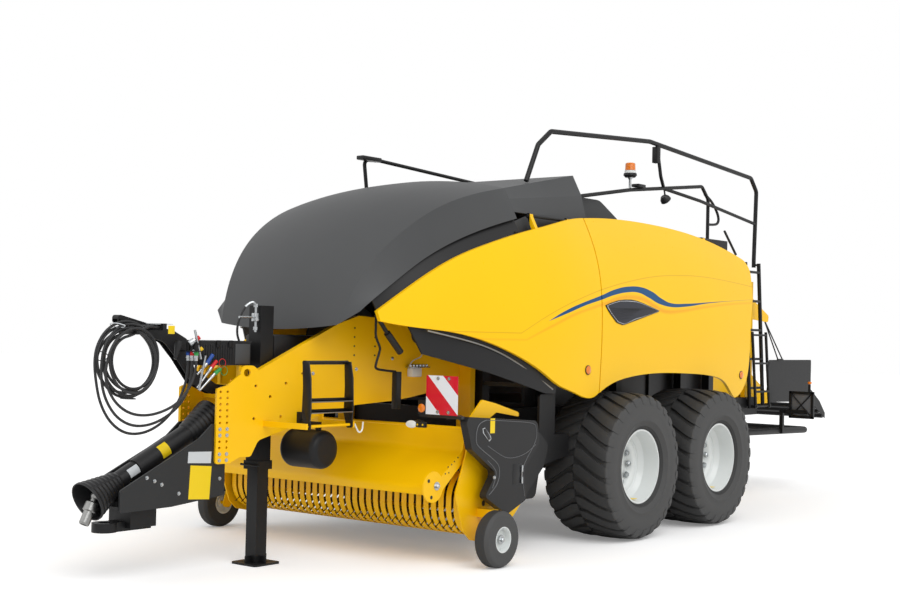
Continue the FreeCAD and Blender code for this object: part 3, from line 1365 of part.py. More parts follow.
def ladder_step():
    """Lower ladder section, folded up outside the main ladder."""
    x = LADDER_HINGE_X
    z = LADDER_HINGE_Z
    top = 1721
    rear = LADDER_FOOT_Y + 32
    front = rear - LADDER_SPACING - 7
    lean = 103 / (top - z)
    pieces = []
    for y in (front, rear):
        pieces.append(rod((x, y, z), (x, y - lean * (top - z), top), 15))
        pieces.append(rod((x, y - 14, z), (x, y + 14, z), 20))
    for rung_z in (1110, 1400, 1690):
        shift = (rung_z - z) * lean
        pieces.append(box(x - 15, x + 15, front - shift, rear - shift, rung_z - 10, rung_z + 10))
    return weld(pieces).cut(rod((x, front - 100, z), (x, rear + 100, z), LADDER_HINGE_R + RUN_GAP))


def rear_light_boards():
    board = box(750, 1030, 3600, 3614, 810, 1100)
    return pair(board)


def trim_slab(y0, y1, z0, z1, inset, thickness):
    """Panel that follows the shield skin at a distance inside it."""
    slab = skin_slab(y0, y1, z0, z1)
    slab.translate(V(-inset, 0, 0))
    shifted = slab.copy()
    shifted.translate(V(-thickness, 0, 0))
    return slab.cut(shifted)


def lower_trim():
    """Dark panel and rail below the front shield, carried from the frame's upright."""
    outline = [(-2912, 1674), (-2850, 1730), (-2580, 1700), (-2285, 1630), (-2005, 1530),
               (-1740, 1404), (-1560, 1320), (-1560, 1190), (-1682, 1194), (-2250, 1350, 300),
               (-2809, 1484)]
    inset = SHIELD_T + 12
    blank = plate_x(outline, 0, 2 * BODY_HALF)
    panel = trim_slab(-3000, -1500, 1150, 1800, inset, 12).common(blank)
    outer = beam_x_range()[1] + SEAT_GAP
    reach = skin_x(-1830, 1255) - inset - 4
    arm = box(outer, reach, -1850, -1815, 1240, 1270)
    return weld(panel, arm)


def hood_trim():
    """Dark strip that closes the gap between the hood's edge and the shield's top edge."""
    upper = []
    lower = []
    for section in HOOD_SECTIONS[1:]:
        edge_x = section[1]
        edge = section[2]
        upper.append(V(edge_x - HOOD_T - 8, edge[0], edge[1] - 4))
    for y, z in ((-3130, 1775), (-2980, 1888), (-2735, 2048), (-2465, 2185), (-2080, 2318),
                 (-1800, 2394)):
        lower.append(V(skin_x(y, z) - SHIELD_T - 12, y, z))
    curves = []
    for points in (upper, lower):
        curve = Part.BSplineCurve()
        curve.interpolate(points)
        curves.append(curve.toShape())
    strip = Part.makeRuledSurface(curves[0], curves[1]).extrude(V(-10, 0, 0))
    arm = box(beam_x_range()[1] + SEAT_GAP, lower[-1].x - 12, -1850, -1815, 2396, 2426)
    return weld(strip, arm)


def warning_boards():
    """Striped boards facing forward, each on a short bar carried by the pickup's end shield."""
    seat = PICKUP_HALF + 20 - SEAT_GAP
    bar = box(950, 1330, -2881, -2849, 1042, 1062)
    board = box(1012, 1294, -2885, -2880, 1056, 1338)
    bracket = plate_x([(-2875, 1034), (-2875, 1060), (-2720, 1060, 40), (-2570, 1008, 20),
                       (-2570, 978, 10), (-2650, 978, 20), (-2740, 1030, 40)], seat - 12, 12)
    return pair(weld(board, bar, bracket))


def build_all():
    os.makedirs("parts", exist_ok=True)
    for name, side in (("left", 1), ("right", -1)):
        for row, y in (("front", -AXLE_SPACING / 2), ("rear", AXLE_SPACING / 2)):
            a = tyre(TRACK / 2, y)
            b = rim(TRACK / 2, y)
            if side < 0:
                a = mirrored(a)
                b = mirrored(b)
            add_node("tyre_" + name + "_" + row, a)
            add_node("rim_" + name + "_" + row, b)
    add_node("bogie_frame", bogie_frame())
    add_node("main_frame", main_frame())
    add_node("bale_chamber", bale_chamber())
    add_node("density_frame", density_frame())
    add_node("drawbar", drawbar())
    add_node("hitch_tongue", hitch_tongue())
    add_node("tow_eye", tow_eye())
    add_node("gearbox", gearbox())
    add_node("input_shaft", input_shaft())
    add_node("jack_sleeve", jack_sleeve())
    add_node("jack_leg", jack_leg())
    for name, shield in (("front_shield", front_shield()), ("rear_shield", rear_shield())):
        add_node(name + "_left", shield)
        add_node(name + "_right", mirrored(shield))
    add_node("front_hood", front_hood())
    add_node("lower_trims", pair(lower_trim()))
    add_node("hood_trims", pair(hood_trim()))
    add_node("top_cowl", top_cowl())
    add_node("knotter_deck", knotter_deck())
    add_node("handrails", handrails())
    add_node("beacon", beacon())
    add_node("pickup_frame", pickup_frame())
    add_node("pickup_bands", pickup_bands())
    add_node("pickup_reel", pickup_reel())
    add_node("wind_guard", wind_guard())
    for name, side in (("left", 1), ("right", -1)):
        add_node("gauge_tyre_" + name, gauge_tyre(side))
        add_node("gauge_rim_" + name, gauge_rim(side))
    add_node("cutter_box", cutter_box())
    add_node("feeder_rotor", feeder_rotor())
    add_node("cutter_covers", pair(cutter_cover()))
    add_node("air_tank", air_tank())
    add_node("side_step", side_step())
    add_node("toolbox", toolbox())
    add_node("hose_arm", hose_arm())
    add_node("hose_coil", hose_coil())
    add_node("hose_tails", hose_tails())
    add_node("hose_plugs", hose_plugs())
    add_node("pto_rear_guard", pto_rear())
    add_node("pto_front_guard", pto_front())
    add_node("pto_yoke", pto_yoke())
    add_node("bale_chute", bale_chute())
    add_node("chute_stays", chute_stays())
    add_node("rear_bumper", rear_bumper())
    add_node("rear_ladder", rear_ladder())
    add_node("ladder_step", ladder_step())
    add_node("rear_light_boards", rear_light_boards())
    add_node("warning_boards", warning_boards())
    export_nodes()


build_all()
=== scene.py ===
# %% [markdown]
# # A large square baler
# The real machine is a towed harvester that picks up straw and presses it into square bales.
# Its steel frame, shields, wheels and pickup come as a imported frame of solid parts.
# This lesson dresses that frame: paint, rubber, tyre tread, bolts, lamps, hoses and stripes.
# A new piece takes its place from the frame's own boxes or from a drawing of the machine.

# %% Load the frame
import math
import bpy
from mathutils import Matrix, Vector


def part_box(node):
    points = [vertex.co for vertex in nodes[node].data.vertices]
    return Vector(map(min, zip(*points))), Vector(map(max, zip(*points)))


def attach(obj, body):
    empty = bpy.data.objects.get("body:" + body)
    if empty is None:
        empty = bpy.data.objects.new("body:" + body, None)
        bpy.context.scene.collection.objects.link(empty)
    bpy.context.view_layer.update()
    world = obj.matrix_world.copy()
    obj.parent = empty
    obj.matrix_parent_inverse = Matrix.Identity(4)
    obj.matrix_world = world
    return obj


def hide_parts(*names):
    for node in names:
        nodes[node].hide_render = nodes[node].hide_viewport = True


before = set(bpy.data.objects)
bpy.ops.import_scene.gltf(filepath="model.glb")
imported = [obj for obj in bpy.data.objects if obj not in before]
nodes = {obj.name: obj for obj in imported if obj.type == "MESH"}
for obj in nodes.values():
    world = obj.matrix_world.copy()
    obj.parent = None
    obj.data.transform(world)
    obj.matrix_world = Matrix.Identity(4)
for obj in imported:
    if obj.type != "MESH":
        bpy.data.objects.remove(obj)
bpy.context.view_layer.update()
bpy.ops.object.select_all(action="DESELECT")

# %% [markdown]
# The frame's origin is under the middle of the machine. Drawings of such a machine measure
# from between its two axles, so one value turns a length on the drawing into a place here.

# %% Drawing to frame
TANDEM_Y = (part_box("tyre_left_front")[0].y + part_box("tyre_left_rear")[1].y) / 2


def spot(x, y, z):
    """A place in the frame from a drawing's x, y and z, where y starts between the axles."""
    return Vector((x, y + TANDEM_Y, z))


def run(x, *pairs):
    """Places at one distance out, from pairs of the drawing's y and z."""
    return [spot(x, y, z) for y, z in pairs]


def spots(*places):
    """Places in the frame from places on the drawing."""
    return [spot(*place) for place in places]


print("middle of the axles at y", round(TANDEM_Y, 4))

# %% [markdown]
# The camera stands ahead of the machine's left side at chest height, with a slightly long
# lens, so the wheels and the rear stay in proportion. Its turn is given as three directions.

# %% Camera
CAMERA_PLACE = (7.298, -10.535, 1.627)
CAMERA_LENS = 56.12
CAMERA_YAW, CAMERA_PITCH, CAMERA_ROLL = (math.radians(v) for v in (38.515, -1.207, 1.249))
forward = Vector((-math.sin(CAMERA_YAW) * math.cos(CAMERA_PITCH),
                  math.cos(CAMERA_YAW) * math.cos(CAMERA_PITCH), -math.sin(CAMERA_PITCH)))
level_right = forward.cross(Vector((0, 0, 1))).normalized()
level_up = level_right.cross(forward)
right = level_right * math.cos(CAMERA_ROLL) + level_up * math.sin(CAMERA_ROLL)
up = level_up * math.cos(CAMERA_ROLL) - level_right * math.sin(CAMERA_ROLL)
bpy.ops.object.camera_add(location=spot(*CAMERA_PLACE))
camera = bpy.context.object
camera.rotation_euler = Matrix((right, up, -forward)).transposed().to_euler()
camera.data.lens = CAMERA_LENS
camera.data.clip_end = 200
bpy.context.scene.camera = camera
print("camera", camera.location)

# %% [markdown]
# A picture studio is a pale floor under large soft lamps. The world gives light from all
# sides at over half strength. Two very soft suns shape the body from above, because a sun
# lights the floor evenly out to the horizon. The camera sees the world as plain white.

# %% Studio
scene = bpy.context.scene
scene.view_settings.view_transform = "Standard"
# The world's strength for a surface, for a reflection and for the camera.
WORLD_STRENGTHS = (0.6, 0.8, 1)
# Each sun: the direction it shines along, its strength, and its width in degrees.
SUNS = (((-0.62, 0.28, -0.73), 1.45, 50), ((0.45, 0.62, -0.64), 0.5, 70))
FLOOR_SIZE = 120
FLOOR_GLOW = 0.2


def linear(code):
    """Turn an sRGB hex colour into the linear numbers that Blender mixes with."""
    parts = [int(code[i:i + 2], 16) / 255 for i in (1, 3, 5)]
    return [v / 12.92 if v <= 0.04045 else ((v + 0.055) / 1.055) ** 2.4 for v in parts] + [1]


def put(tree, kind, feeds=None, **settings):
    """Add a node, set its properties, and feed each socket a value or another node's output."""
    made = tree.nodes.new(kind)
    for name, value in settings.items():
        setattr(made, name, value)
    for socket, value in (feeds or {}).items():
        if isinstance(value, bpy.types.NodeSocket):
            tree.links.new(value, made.inputs[socket])
        else:
            made.inputs[socket].default_value = value
    return made


def reckon(tree, operation, *values):
    """The result of one math node."""
    return put(tree, "ShaderNodeMath", dict(enumerate(values)), operation=operation).outputs[0]


def empty_tree(owner):
    """Clear an owner's node tree and give it back."""
    owner.use_nodes = True
    owner.node_tree.nodes.clear()
    return owner.node_tree


world = bpy.data.worlds.new("studio")
scene.world = world
tree = empty_tree(world)
rays = put(tree, "ShaderNodeLightPath").outputs
seen = reckon(tree, "MAXIMUM", rays["Is Camera Ray"], rays["Is Transmission Ray"])
soft, shiny, white = (put(tree, "ShaderNodeBackground", {"Color": linear("#ffffff"),
                                                         "Strength": strength}).outputs[0]
                      for strength in WORLD_STRENGTHS)
lit = put(tree, "ShaderNodeMixShader", {0: rays["Is Glossy Ray"], 1: soft, 2: shiny})
mixed = put(tree, "ShaderNodeMixShader", {0: seen, 1: lit.outputs[0], 2: white})
put(tree, "ShaderNodeOutputWorld", {"Surface": mixed.outputs[0]})
for toward, strength, width in SUNS:
    bpy.ops.object.light_add(type="SUN", location=(0, 0, 12))
    lamp = bpy.context.object
    lamp.data.energy = strength
    lamp.data.angle = math.radians(width)
    lamp.rotation_euler = Vector(toward).to_track_quat("-Z", "Y").to_euler()

bpy.ops.mesh.primitive_plane_add(size=FLOOR_SIZE, location=(0, 0, 0))
floor = bpy.context.object
floor.name = "studio_floor"
floor_paint = bpy.data.materials.new("pale studio floor")
tree = empty_tree(floor_paint)
pale = linear("#fbfbfb")
path = put(tree, "ShaderNodeLightPath")
matt = put(tree, "ShaderNodeBsdfDiffuse", {"Color": pale})
glow = put(tree, "ShaderNodeEmission", {"Color": pale, "Strength": FLOOR_GLOW})
both = put(tree, "ShaderNodeAddShader", {0: matt.outputs[0], 1: glow.outputs[0]})
seen = put(tree, "ShaderNodeMixShader", {0: path.outputs["Is Camera Ray"], 1: matt.outputs[0],
                                         2: both.outputs[0]})
put(tree, "ShaderNodeOutputMaterial", {"Surface": seen.outputs[0]})
floor.data.materials.append(floor_paint)

# %% [markdown]
# Every finish starts the same way: one Principled shader with its typical numbers, a large
# soft cloud that shifts the colour a little, and a fine grain that shifts the roughness
# and lifts the surface. What differs is the size of the grain in millimetres.

# %% Finishes
METRE_MM = 1000
CLOUD_SCALE = 1.7
GRAIN_LIFT = 0.002
COAT_ROUGHNESS = 0.06
BLACK_PAINT = "#1b1b1c"


def finish(name, colour, shade, roughness, grain_mm, bump, metallic=0, coat=0, spread=0.06,
           specular=0.3):
    """A finish of two close colours, with grain of a given size in millimetres."""
    made = bpy.data.materials.new(name)
    tree = empty_tree(made)
    place = put(tree, "ShaderNodeTexCoord").outputs["Object"]
    cloud = put(tree, "ShaderNodeTexNoise", {"Vector": place, "Scale": CLOUD_SCALE, "Detail": 4})
    grain = put(tree, "ShaderNodeTexNoise", {"Vector": place, "Scale": METRE_MM / grain_mm,
                                             "Detail": 2})
    tone = put(tree, "ShaderNodeMix", {"Factor": cloud.outputs[0], 6: linear(colour),
                                       7: linear(shade)}, data_type="RGBA")
    rough = put(tree, "ShaderNodeMapRange", {0: grain.outputs[0], 3: roughness - spread,
                                             4: roughness + spread})
    lift = put(tree, "ShaderNodeBump", {"Height": grain.outputs[0], "Strength": bump,
                                        "Distance": GRAIN_LIFT})
    shader = put(tree, "ShaderNodeBsdfPrincipled",
                 {"Base Color": tone.outputs[2], "Roughness": rough.outputs[0],
                  "Metallic": metallic, "Coat Weight": coat, "Coat Roughness": COAT_ROUGHNESS,
                  "Specular IOR Level": specular, "Normal": lift.outputs[0]})
    put(tree, "ShaderNodeOutputMaterial", {"Surface": shader.outputs[0]})
    return made


def place_axes(material):
    """A finish's node tree, and its own place as distances outward, along and up."""
    tree = material.node_tree
    place = next(n for n in tree.nodes if n.type == "TEX_COORD").outputs["Object"]
    x, y, z = put(tree, "ShaderNodeSeparateXYZ", {0: place}).outputs
    return tree, reckon(tree, "ABSOLUTE", x), y, z


def in_range(tree, value, low, high):
    """1 where a value lies between two limits."""
    return reckon(tree, "MULTIPLY", reckon(tree, "GREATER_THAN", value, low),
                  reckon(tree, "LESS_THAN", value, high))


def tinted(material, mask, paint):
    """Lay a second colour over a finish where a mask is 1."""
    tree = material.node_tree
    shader = next(n for n in tree.nodes if n.type == "BSDF_PRINCIPLED")
    colour = shader.inputs["Base Color"].links[0].from_socket
    over = put(tree, "ShaderNodeMix", {"Factor": mask, 6: colour, 7: linear(paint)},
               data_type="RGBA")
    tree.links.new(over.outputs[2], shader.inputs["Base Color"])


# Two-pack enamel on steel: even, glossy, with a faint orange peel of about 12 mm.
sheet_yellow = finish("glossy yellow enamel", "#ffc800", "#fcc100", 0.34, 12, 0.05)
# Satin black enamel on the frame: dust settles on it and makes it a little pale.
frame_black = finish("satin black enamel", "#121213", "#19191a", 0.42, 8, 0.08)
# Grained ABS sheet for the hood: dark grey, with a fine leather grain, drawn 4 mm coarse.
hood_grey = finish("grained dark grey ABS", "#4b4c4d", "#434445", 0.5, 4, 0.1)
# Moulded polyethylene: paler than the black enamel and a little waxy.
moulded_black = finish("moulded black plastic", "#1d1d1e", "#252526", 0.38, 5, 0.06)
tyre_rubber = finish("tyre rubber", "#2e2e2e", "#3d3d3d", 0.62, 9, 0.25, spread=0.1)
# Hose rubber with a woven cover.
hose_rubber = finish("hose rubber", "#2a2a2b", "#363637", 0.45, 3, 0.2)
# Baked white rim paint.
rim_white = finish("white rim enamel", "#e4e7e6", "#dadedd", 0.3, 10, 0.04, coat=0.3)
# Machined and worn steel.
bare_steel = finish("bare steel", "#a2a2a0", "#8c8c8a", 0.34, 6, 0.1, metallic=1)
# Tine and spring steel: oil-darkened, brown.
spring_steel = finish("dark spring steel", "#55493c", "#3e352c", 0.42, 7, 0.1, metallic=0.8)
# Zinc-plated bolts and couplings.
zinc_plate = finish("zinc plate", "#c3c6c8", "#aeb1b3", 0.26, 5, 0.05, metallic=1)
# Painted castings: rougher than sheet.
casting_black = finish("painted casting", "#29292a", "#333334", 0.55, 14, 0.35)
tongue_grey = finish("dark grey enamel", "#262728", "#2d2e2f", 0.36, 10, 0.06)
# Blank labels, lenses and coloured caps.
label_pale = finish("pale label film", "#cfd3d6", "#c6cacd", 0.35, 4, 0.02)
label_yellow = finish("yellow label film", "#f3d21c", "#ecca16", 0.35, 4, 0.02)
lamp_white = finish("white lamp lens", "#eef0ee", "#e2e5e3", 0.18, 6, 0.05, coat=0.6)
lens_amber = finish("amber lens", "#f0861a", "#e27612", 0.16, 8, 0.1, coat=0.6)
lens_red = finish("red lens", "#b3161b", "#9c1217", 0.18, 8, 0.1, coat=0.6)
cap_red = finish("red plastic cap", "#d3262b", "#c01f25", 0.35, 3, 0.05)
cap_blue = finish("blue plastic cap", "#27509f", "#204590", 0.35, 3, 0.05)
cap_green = finish("green plastic cap", "#3d9c52", "#348b48", 0.35, 3, 0.05)
cap_yellow = finish("yellow plastic cap", "#efc51d", "#e0b615", 0.35, 3, 0.05)
decal_black = finish("black film", "#202021", "#262627", 0.3, 4, 0.02)

WEARS = {
    sheet_yellow: ["density_frame", "drawbar", "pickup_bands", "wind_guard"],
    frame_black: ["bogie_frame", "main_frame", "tow_eye", "jack_sleeve", "jack_leg", "handrails",
                  "knotter_deck", "air_tank", "side_step", "hose_arm", "bale_chute",
                  "chute_stays", "rear_bumper", "rear_ladder", "ladder_step", "cutter_box"],
    hood_grey: ["front_hood", "top_cowl"],
    moulded_black: ["lower_trims", "hood_trims", "cutter_covers", "toolbox", "input_shaft",
                    "pto_rear_guard", "pto_front_guard"],
    tongue_grey: ["hitch_tongue"],
    casting_black: ["gearbox"],
    bare_steel: ["pto_yoke", "feeder_rotor"],
    spring_steel: ["pickup_reel"],
    zinc_plate: ["hose_plugs"],
    hose_rubber: ["hose_coil", "hose_tails"],
    tyre_rubber: ["gauge_tyre_left", "gauge_tyre_right"],
    rim_white: ["gauge_rim_left", "gauge_rim_right"],
    lens_amber: ["beacon"],
}


def dress(thing, material):
    """Give a piece one material."""
    thing.data.materials.clear()
    thing.data.materials.append(material)


for material, names in WEARS.items():
    for name in names:
        dress(nodes[name], material)
for name in nodes:
    if name.startswith("tyre"):
        dress(nodes[name], tyre_rubber)
    elif name.startswith("rim"):
        dress(nodes[name], rim_white)
print("finishes", len(bpy.data.materials))

# %% [markdown]
# The side shields are moulded sheet in the same yellow. A blue band sweeps over the air vent
# and runs on across the split between the shields, with an orange band of painted shade in a
# pressed groove below it and a thin darker line of painted shade along a pressed crease above
# it. They are painted by height: a curve node turns the distance along the machine into the
# height of each edge.

# %% Shield paint with its band
BAND_Y = (-2.0, 2.0)
BAND_Z = (1.6, 2.3)
BLUE_TOP = [(-1.69, 1.755), (-1.462, 1.846), (-1.262, 1.903), (-0.994, 1.967), (-0.754, 2.027),
            (-0.561, 2.055), (-0.371, 2.06), (-0.19, 2.03), (-0.037, 1.973), (0.128, 1.938),
            (0.388, 1.943), (0.803, 1.968), (1.55, 2.012)]
BLUE_LOW = [(-1.69, 1.752), (-1.465, 1.817), (-1.226, 1.884), (-1.004, 1.931), (-0.768, 1.982),
            (-0.578, 2.007), (-0.436, 2.012), (-0.257, 1.975), (-0.076, 1.924), (0.119, 1.905),
            (0.327, 1.913), (0.8, 1.959), (1.55, 2.011)]
# The orange band below the blue one is painted shade in a pressed groove: its top and lower edges.
GROOVE_SHADE_TOP = [(-1.95, 1.59), (-1.613, 1.738), (-1.373, 1.819), (-1.101, 1.881), (-0.941, 1.917),
            (-0.727, 1.968), (-0.538, 1.986), (-0.352, 1.977), (-0.174, 1.925), (0.012, 1.88),
            (0.269, 1.887), (0.65, 1.924), (1.247, 1.968), (1.95, 2.002)]
GROOVE_SHADE_LOW = [(-1.95, 1.58), (-1.614, 1.723), (-1.375, 1.802), (-1.105, 1.865), (-0.947, 1.892),
            (-0.736, 1.935), (-0.548, 1.953), (-0.363, 1.94), (-0.184, 1.887), (0.006, 1.849),
            (0.263, 1.864), (0.645, 1.907), (1.245, 1.962), (1.95, 1.999)]
# A thin darker line of painted shade along a pressed crease: the heights of its middle.
CREASE = [(-1.95, 1.675), (-1.549, 1.852), (-1.253, 1.944), (-0.981, 2.012), (-0.546, 2.095),
          (-0.035, 2.164), (0.36, 2.19), (0.768, 2.198), (1.198, 2.184), (1.95, 2.138)]
CREASE_HALF = 0.0035
# How far each edge fades out: the blue band's, the painted groove shade's and the painted crease
# shade's.
BLUE_FADE, GROOVE_SHADE_FADE, CREASE_FADE = 0.0012, 0.012, 0.003
# The shields' hinge arms are black up to the skin: their reach outward and upward.
ARM_OUT, ARM_UP = (0.9, 0.991), (2.44, 2.7)


def edge_height(tree, along, points):
    """A curve node that gives an edge's height in the machine from the place along it."""
    node = put(tree, "ShaderNodeFloatCurve", {"Value": along})
    line = node.mapping.curves[0]
    for y, z in points:
        across = (y - BAND_Y[0]) / (BAND_Y[1] - BAND_Y[0])
        height = (z - BAND_Z[0]) / (BAND_Z[1] - BAND_Z[0])
        line.points.new(across, max(0.0, min(1.0, height)))
    line.points.remove(line.points[0])
    line.points.remove(line.points[-1])
    node.mapping.update()
    return put(tree, "ShaderNodeMapRange",
               {0: node.outputs[0], 3: BAND_Z[0], 4: BAND_Z[1]}).outputs[0]


def between(tree, height, low, high, fade):
    """1 between two heights, falling to 0 over a short distance outside them."""
    inside = reckon(tree, "MINIMUM", reckon(tree, "SUBTRACT", height, low),
                    reckon(tree, "SUBTRACT", high, height))
    return put(tree, "ShaderNodeMapRange", {0: inside, 1: -fade, 2: fade}).outputs[0]


shield_yellow = finish("moulded yellow shield", "#ffca00", "#fdc500", 0.3, 14, 0.03)
tree, outward, place_y, height = place_axes(shield_yellow)
along = put(tree, "ShaderNodeMapRange", {0: place_y, 1: BAND_Y[0] + TANDEM_Y,
                                         2: BAND_Y[1] + TANDEM_Y}).outputs[0]
blue_mask = between(tree, height, edge_height(tree, along, BLUE_LOW),
                    edge_height(tree, along, BLUE_TOP), BLUE_FADE)
groove_shade_mask = between(tree, height, edge_height(tree, along, GROOVE_SHADE_LOW),
                    edge_height(tree, along, GROOVE_SHADE_TOP), GROOVE_SHADE_FADE)
crease = edge_height(tree, along, CREASE)
crease_shade_mask = between(tree, height, reckon(tree, "SUBTRACT", crease, CREASE_HALF),
                      reckon(tree, "ADD", crease, CREASE_HALF), CREASE_FADE)
# Painted shade: the orange band in the groove and the thin darker line along the crease. The blue
# band is real paint.
for mask, paint, amount in ((groove_shade_mask, "#f3a212", 0.75), (crease_shade_mask, "#dca60c", 0.8),
                            (blue_mask, "#034a7c", 1)):
    tinted(shield_yellow, reckon(tree, "MULTIPLY", mask, amount), paint)
arms = reckon(tree, "MULTIPLY", in_range(tree, outward, *ARM_OUT), in_range(tree, height, *ARM_UP))
tinted(shield_yellow, arms, BLACK_PAINT)
for name in nodes:
    if "shield" in name:
        dress(nodes[name], shield_yellow)
print("shield band curves", len([n for n in tree.nodes if n.type == "CURVE_FLOAT"]))

# %% [markdown]
# Three hydraulic hoses leave a block on the arm, lie in loose turns over its peg, and hang
# down to their couplings on a rack. A hose is one smooth line: its turns come from a loop,
# and its hanging end from listed points. Loose turns differ in size and fan out, and
# each turn lies a little outside the one before it.

# %% Hoses
HOSE_D = 0.018
RING_Y, RING_Z = -4.863, 1.417
RING_R = 0.235
RING_STEPS = (0.018, 0, -0.02)
GLAND_Y, GLAND_Z = -4.66, 1.636
HOSE_LANES = ((0.164, 0.184), (0.204, 0.224), (0.244, 0.264))
HANGING = [
    [(-4.358, 1.418), (-4.358, 1.33), (-4.396, 1.208), (-4.474, 1.088), (-4.59, 0.996),
     (-4.729, 0.949), (-4.868, 0.958), (-4.984, 1.034), (-5.06, 1.15), (-5.094, 1.274)],
    [(-4.358, 1.418), (-4.358, 1.344), (-4.38, 1.232), (-4.452, 1.128), (-4.566, 1.052),
     (-4.698, 1.006), (-4.838, 1.004), (-4.962, 1.062), (-5.046, 1.166), (-5.086, 1.28)],
    [(-4.358, 1.418), (-4.358, 1.34), (-4.412, 1.236), (-4.5, 1.146), (-4.62, 1.094),
     (-4.752, 1.07), (-4.884, 1.084), (-4.994, 1.146), (-5.064, 1.238), (-5.09, 1.33)],
]
TURN_POINTS = 14
TURN_START, TURN_END = 96, 900
TURNS = (TURN_END - TURN_START) / 360
TURN_STEP_IN = 0.022
# How far a turn wanders in size and sideways, and how often it does so in each turn.
WANDER_R, WANDER_X = 0.009, 0.01
WAVES_R, WAVES_X = 2.3, 1.5


def smooth_line(name, points, radius, material):
    """A round curve through control points, as one smooth open line."""
    line = bpy.data.curves.new(name, "CURVE")
    line.dimensions = "3D"
    spline = line.splines.new("NURBS")
    spline.points.add(len(points) - 1)
    for made, point in zip(spline.points, points):
        made.co = (*point, 1)
    spline.order_u = 3
    spline.use_endpoint_u = True
    spline.resolution_u = 6
    line.bevel_depth = radius
    line.bevel_resolution = 3
    line.use_fill_caps = True
    thing = bpy.data.objects.new(name, line)
    bpy.context.collection.objects.link(thing)
    line.materials.append(material)
    return thing


for index, ((start_x, end_x), hanging) in enumerate(zip(HOSE_LANES, HANGING)):
    radius = RING_R + RING_STEPS[index]
    route = run(start_x, (GLAND_Y, GLAND_Z), (GLAND_Y - 0.035, GLAND_Z),
                (GLAND_Y - 0.075, GLAND_Z + 0.006))
    steps = round(TURNS * TURN_POINTS)
    for k in range(steps + 1):
        share = k / steps
        # The angle runs from the top, forward and down the front side.
        angle = math.radians(TURN_START + (TURN_END - TURN_START) * share)
        wide = (radius + WANDER_R * math.sin(WAVES_R * angle + index)
                - TURN_STEP_IN * (1 - share) * TURNS)
        aside = WANDER_X * math.sin(WAVES_X * angle + 2 * index)
        x = start_x + (end_x - start_x) * share + aside
        route.append(spot(x, RING_Y + wide * math.cos(angle), RING_Z + wide * math.sin(angle)))
    route += run(end_x, *reversed(hanging))
    hose = smooth_line(f"hose_{index + 1}", route, HOSE_D / 2, hose_rubber)
    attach(hose, "chassis")
    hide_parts("hose_coil", "hose_tails")
    print(hose.name, "points", len(route))


# %% [markdown]
# Small helpers do what a hand would do in the modelling window. A turned piece starts as a
# ring of points set to its section and is spun about its axle. A plate starts as a filled
# ring set to its outline, is extruded to its thickness, and has its edges bevelled.

# %% Modelling helpers
OUT, AHEAD, BACK = (1, 0, 0), (0, -1, 0), (0, 1, 0)
MERGE_WITHIN = 0.00005
# Two faces that meet at less than this many degrees are shaded as one round surface.
SMOOTH = 35
# Edges sharper than this many degrees are bevelled.
SHARP = 40


def picked(*things):
    """Select these pieces alone, with the first one active."""
    bpy.ops.object.select_all(action="DESELECT")
    for thing in things:
        thing.select_set(True)
    bpy.context.view_layer.objects.active = things[0]


def start_mesh(name, outline, fill):
    """A ring of points in edit mode, set to an outline of places."""
    bpy.ops.object.select_all(action="DESELECT")
    bpy.ops.mesh.primitive_circle_add(vertices=len(outline), fill_type=fill)
    thing = bpy.context.object
    thing.name = name
    for vertex, place in zip(thing.data.vertices, outline):
        vertex.co = place
    thing.data.update()
    bpy.ops.object.mode_set(mode="EDIT")
    bpy.ops.mesh.select_all(action="SELECT")
    return thing


def end_mesh(thing, material, bevel=0, smooth=SMOOTH):
    """Leave edit mode with normals outward, bevel the edges, and give the piece its finish."""
    bpy.ops.mesh.select_all(action="SELECT")
    bpy.ops.mesh.normals_make_consistent(inside=False)
    bpy.ops.object.mode_set(mode="OBJECT")
    if bevel:
        bpy.ops.object.modifier_add(type="BEVEL")
        rounding = thing.modifiers[-1]
        rounding.width = bevel
        rounding.segments = 2
        rounding.limit_method = "ANGLE"
        rounding.angle_limit = math.radians(SHARP)
        bpy.ops.object.modifier_apply(modifier=rounding.name)
    bpy.ops.object.transform_apply(location=True, rotation=True, scale=True)
    bpy.ops.object.shade_smooth_by_angle(angle=math.radians(smooth))
    dress(thing, material)
    return thing


def set_down(thing, matrix):
    """Move a piece's mesh to its place and leave its object at the origin."""
    thing.data.transform(matrix)
    thing.data.update()
    return thing


def turned(name, section, material, steps=24, at=None, smooth=SMOOTH):
    """A round piece about the Z axis from a closed section of (radius, height) pairs."""
    thing = start_mesh(name, [(radius, 0, height) for radius, height in section], "NOTHING")
    bpy.ops.mesh.spin(steps=steps, angle=math.tau, center=(0, 0, 0), axis=(0, 0, 1))
    bpy.ops.mesh.select_all(action="SELECT")
    bpy.ops.mesh.remove_doubles(threshold=MERGE_WITHIN)
    bpy.ops.mesh.delete_loose(use_verts=True, use_edges=True, use_faces=False)
    end_mesh(thing, material, smooth=smooth)
    return set_down(thing, at) if at else thing


def plate(name, outline, depth, material, bevel=0.002):
    """A flat plate from an outline of places, made thick along a vector."""
    thing = start_mesh(name, outline, "NGON")
    bpy.ops.mesh.extrude_region_move(TRANSFORM_OT_translate={"value": depth})
    return end_mesh(thing, material, bevel)


def block(low, high, material, bevel=0.003):
    """A rectangular plate between two corners, with rounded edges."""
    (x0, y0, z0), (x1, y1, z1) = low, high
    return plate("block", [(x0, y0, z0), (x1, y0, z0), (x1, y1, z0), (x0, y1, z0)],
                 (0, 0, z1 - z0), material, bevel)


def slab(low, high, material, bevel=0.003):
    """A block between two places on the drawing."""
    return block(spot(*low), spot(*high), material, bevel)


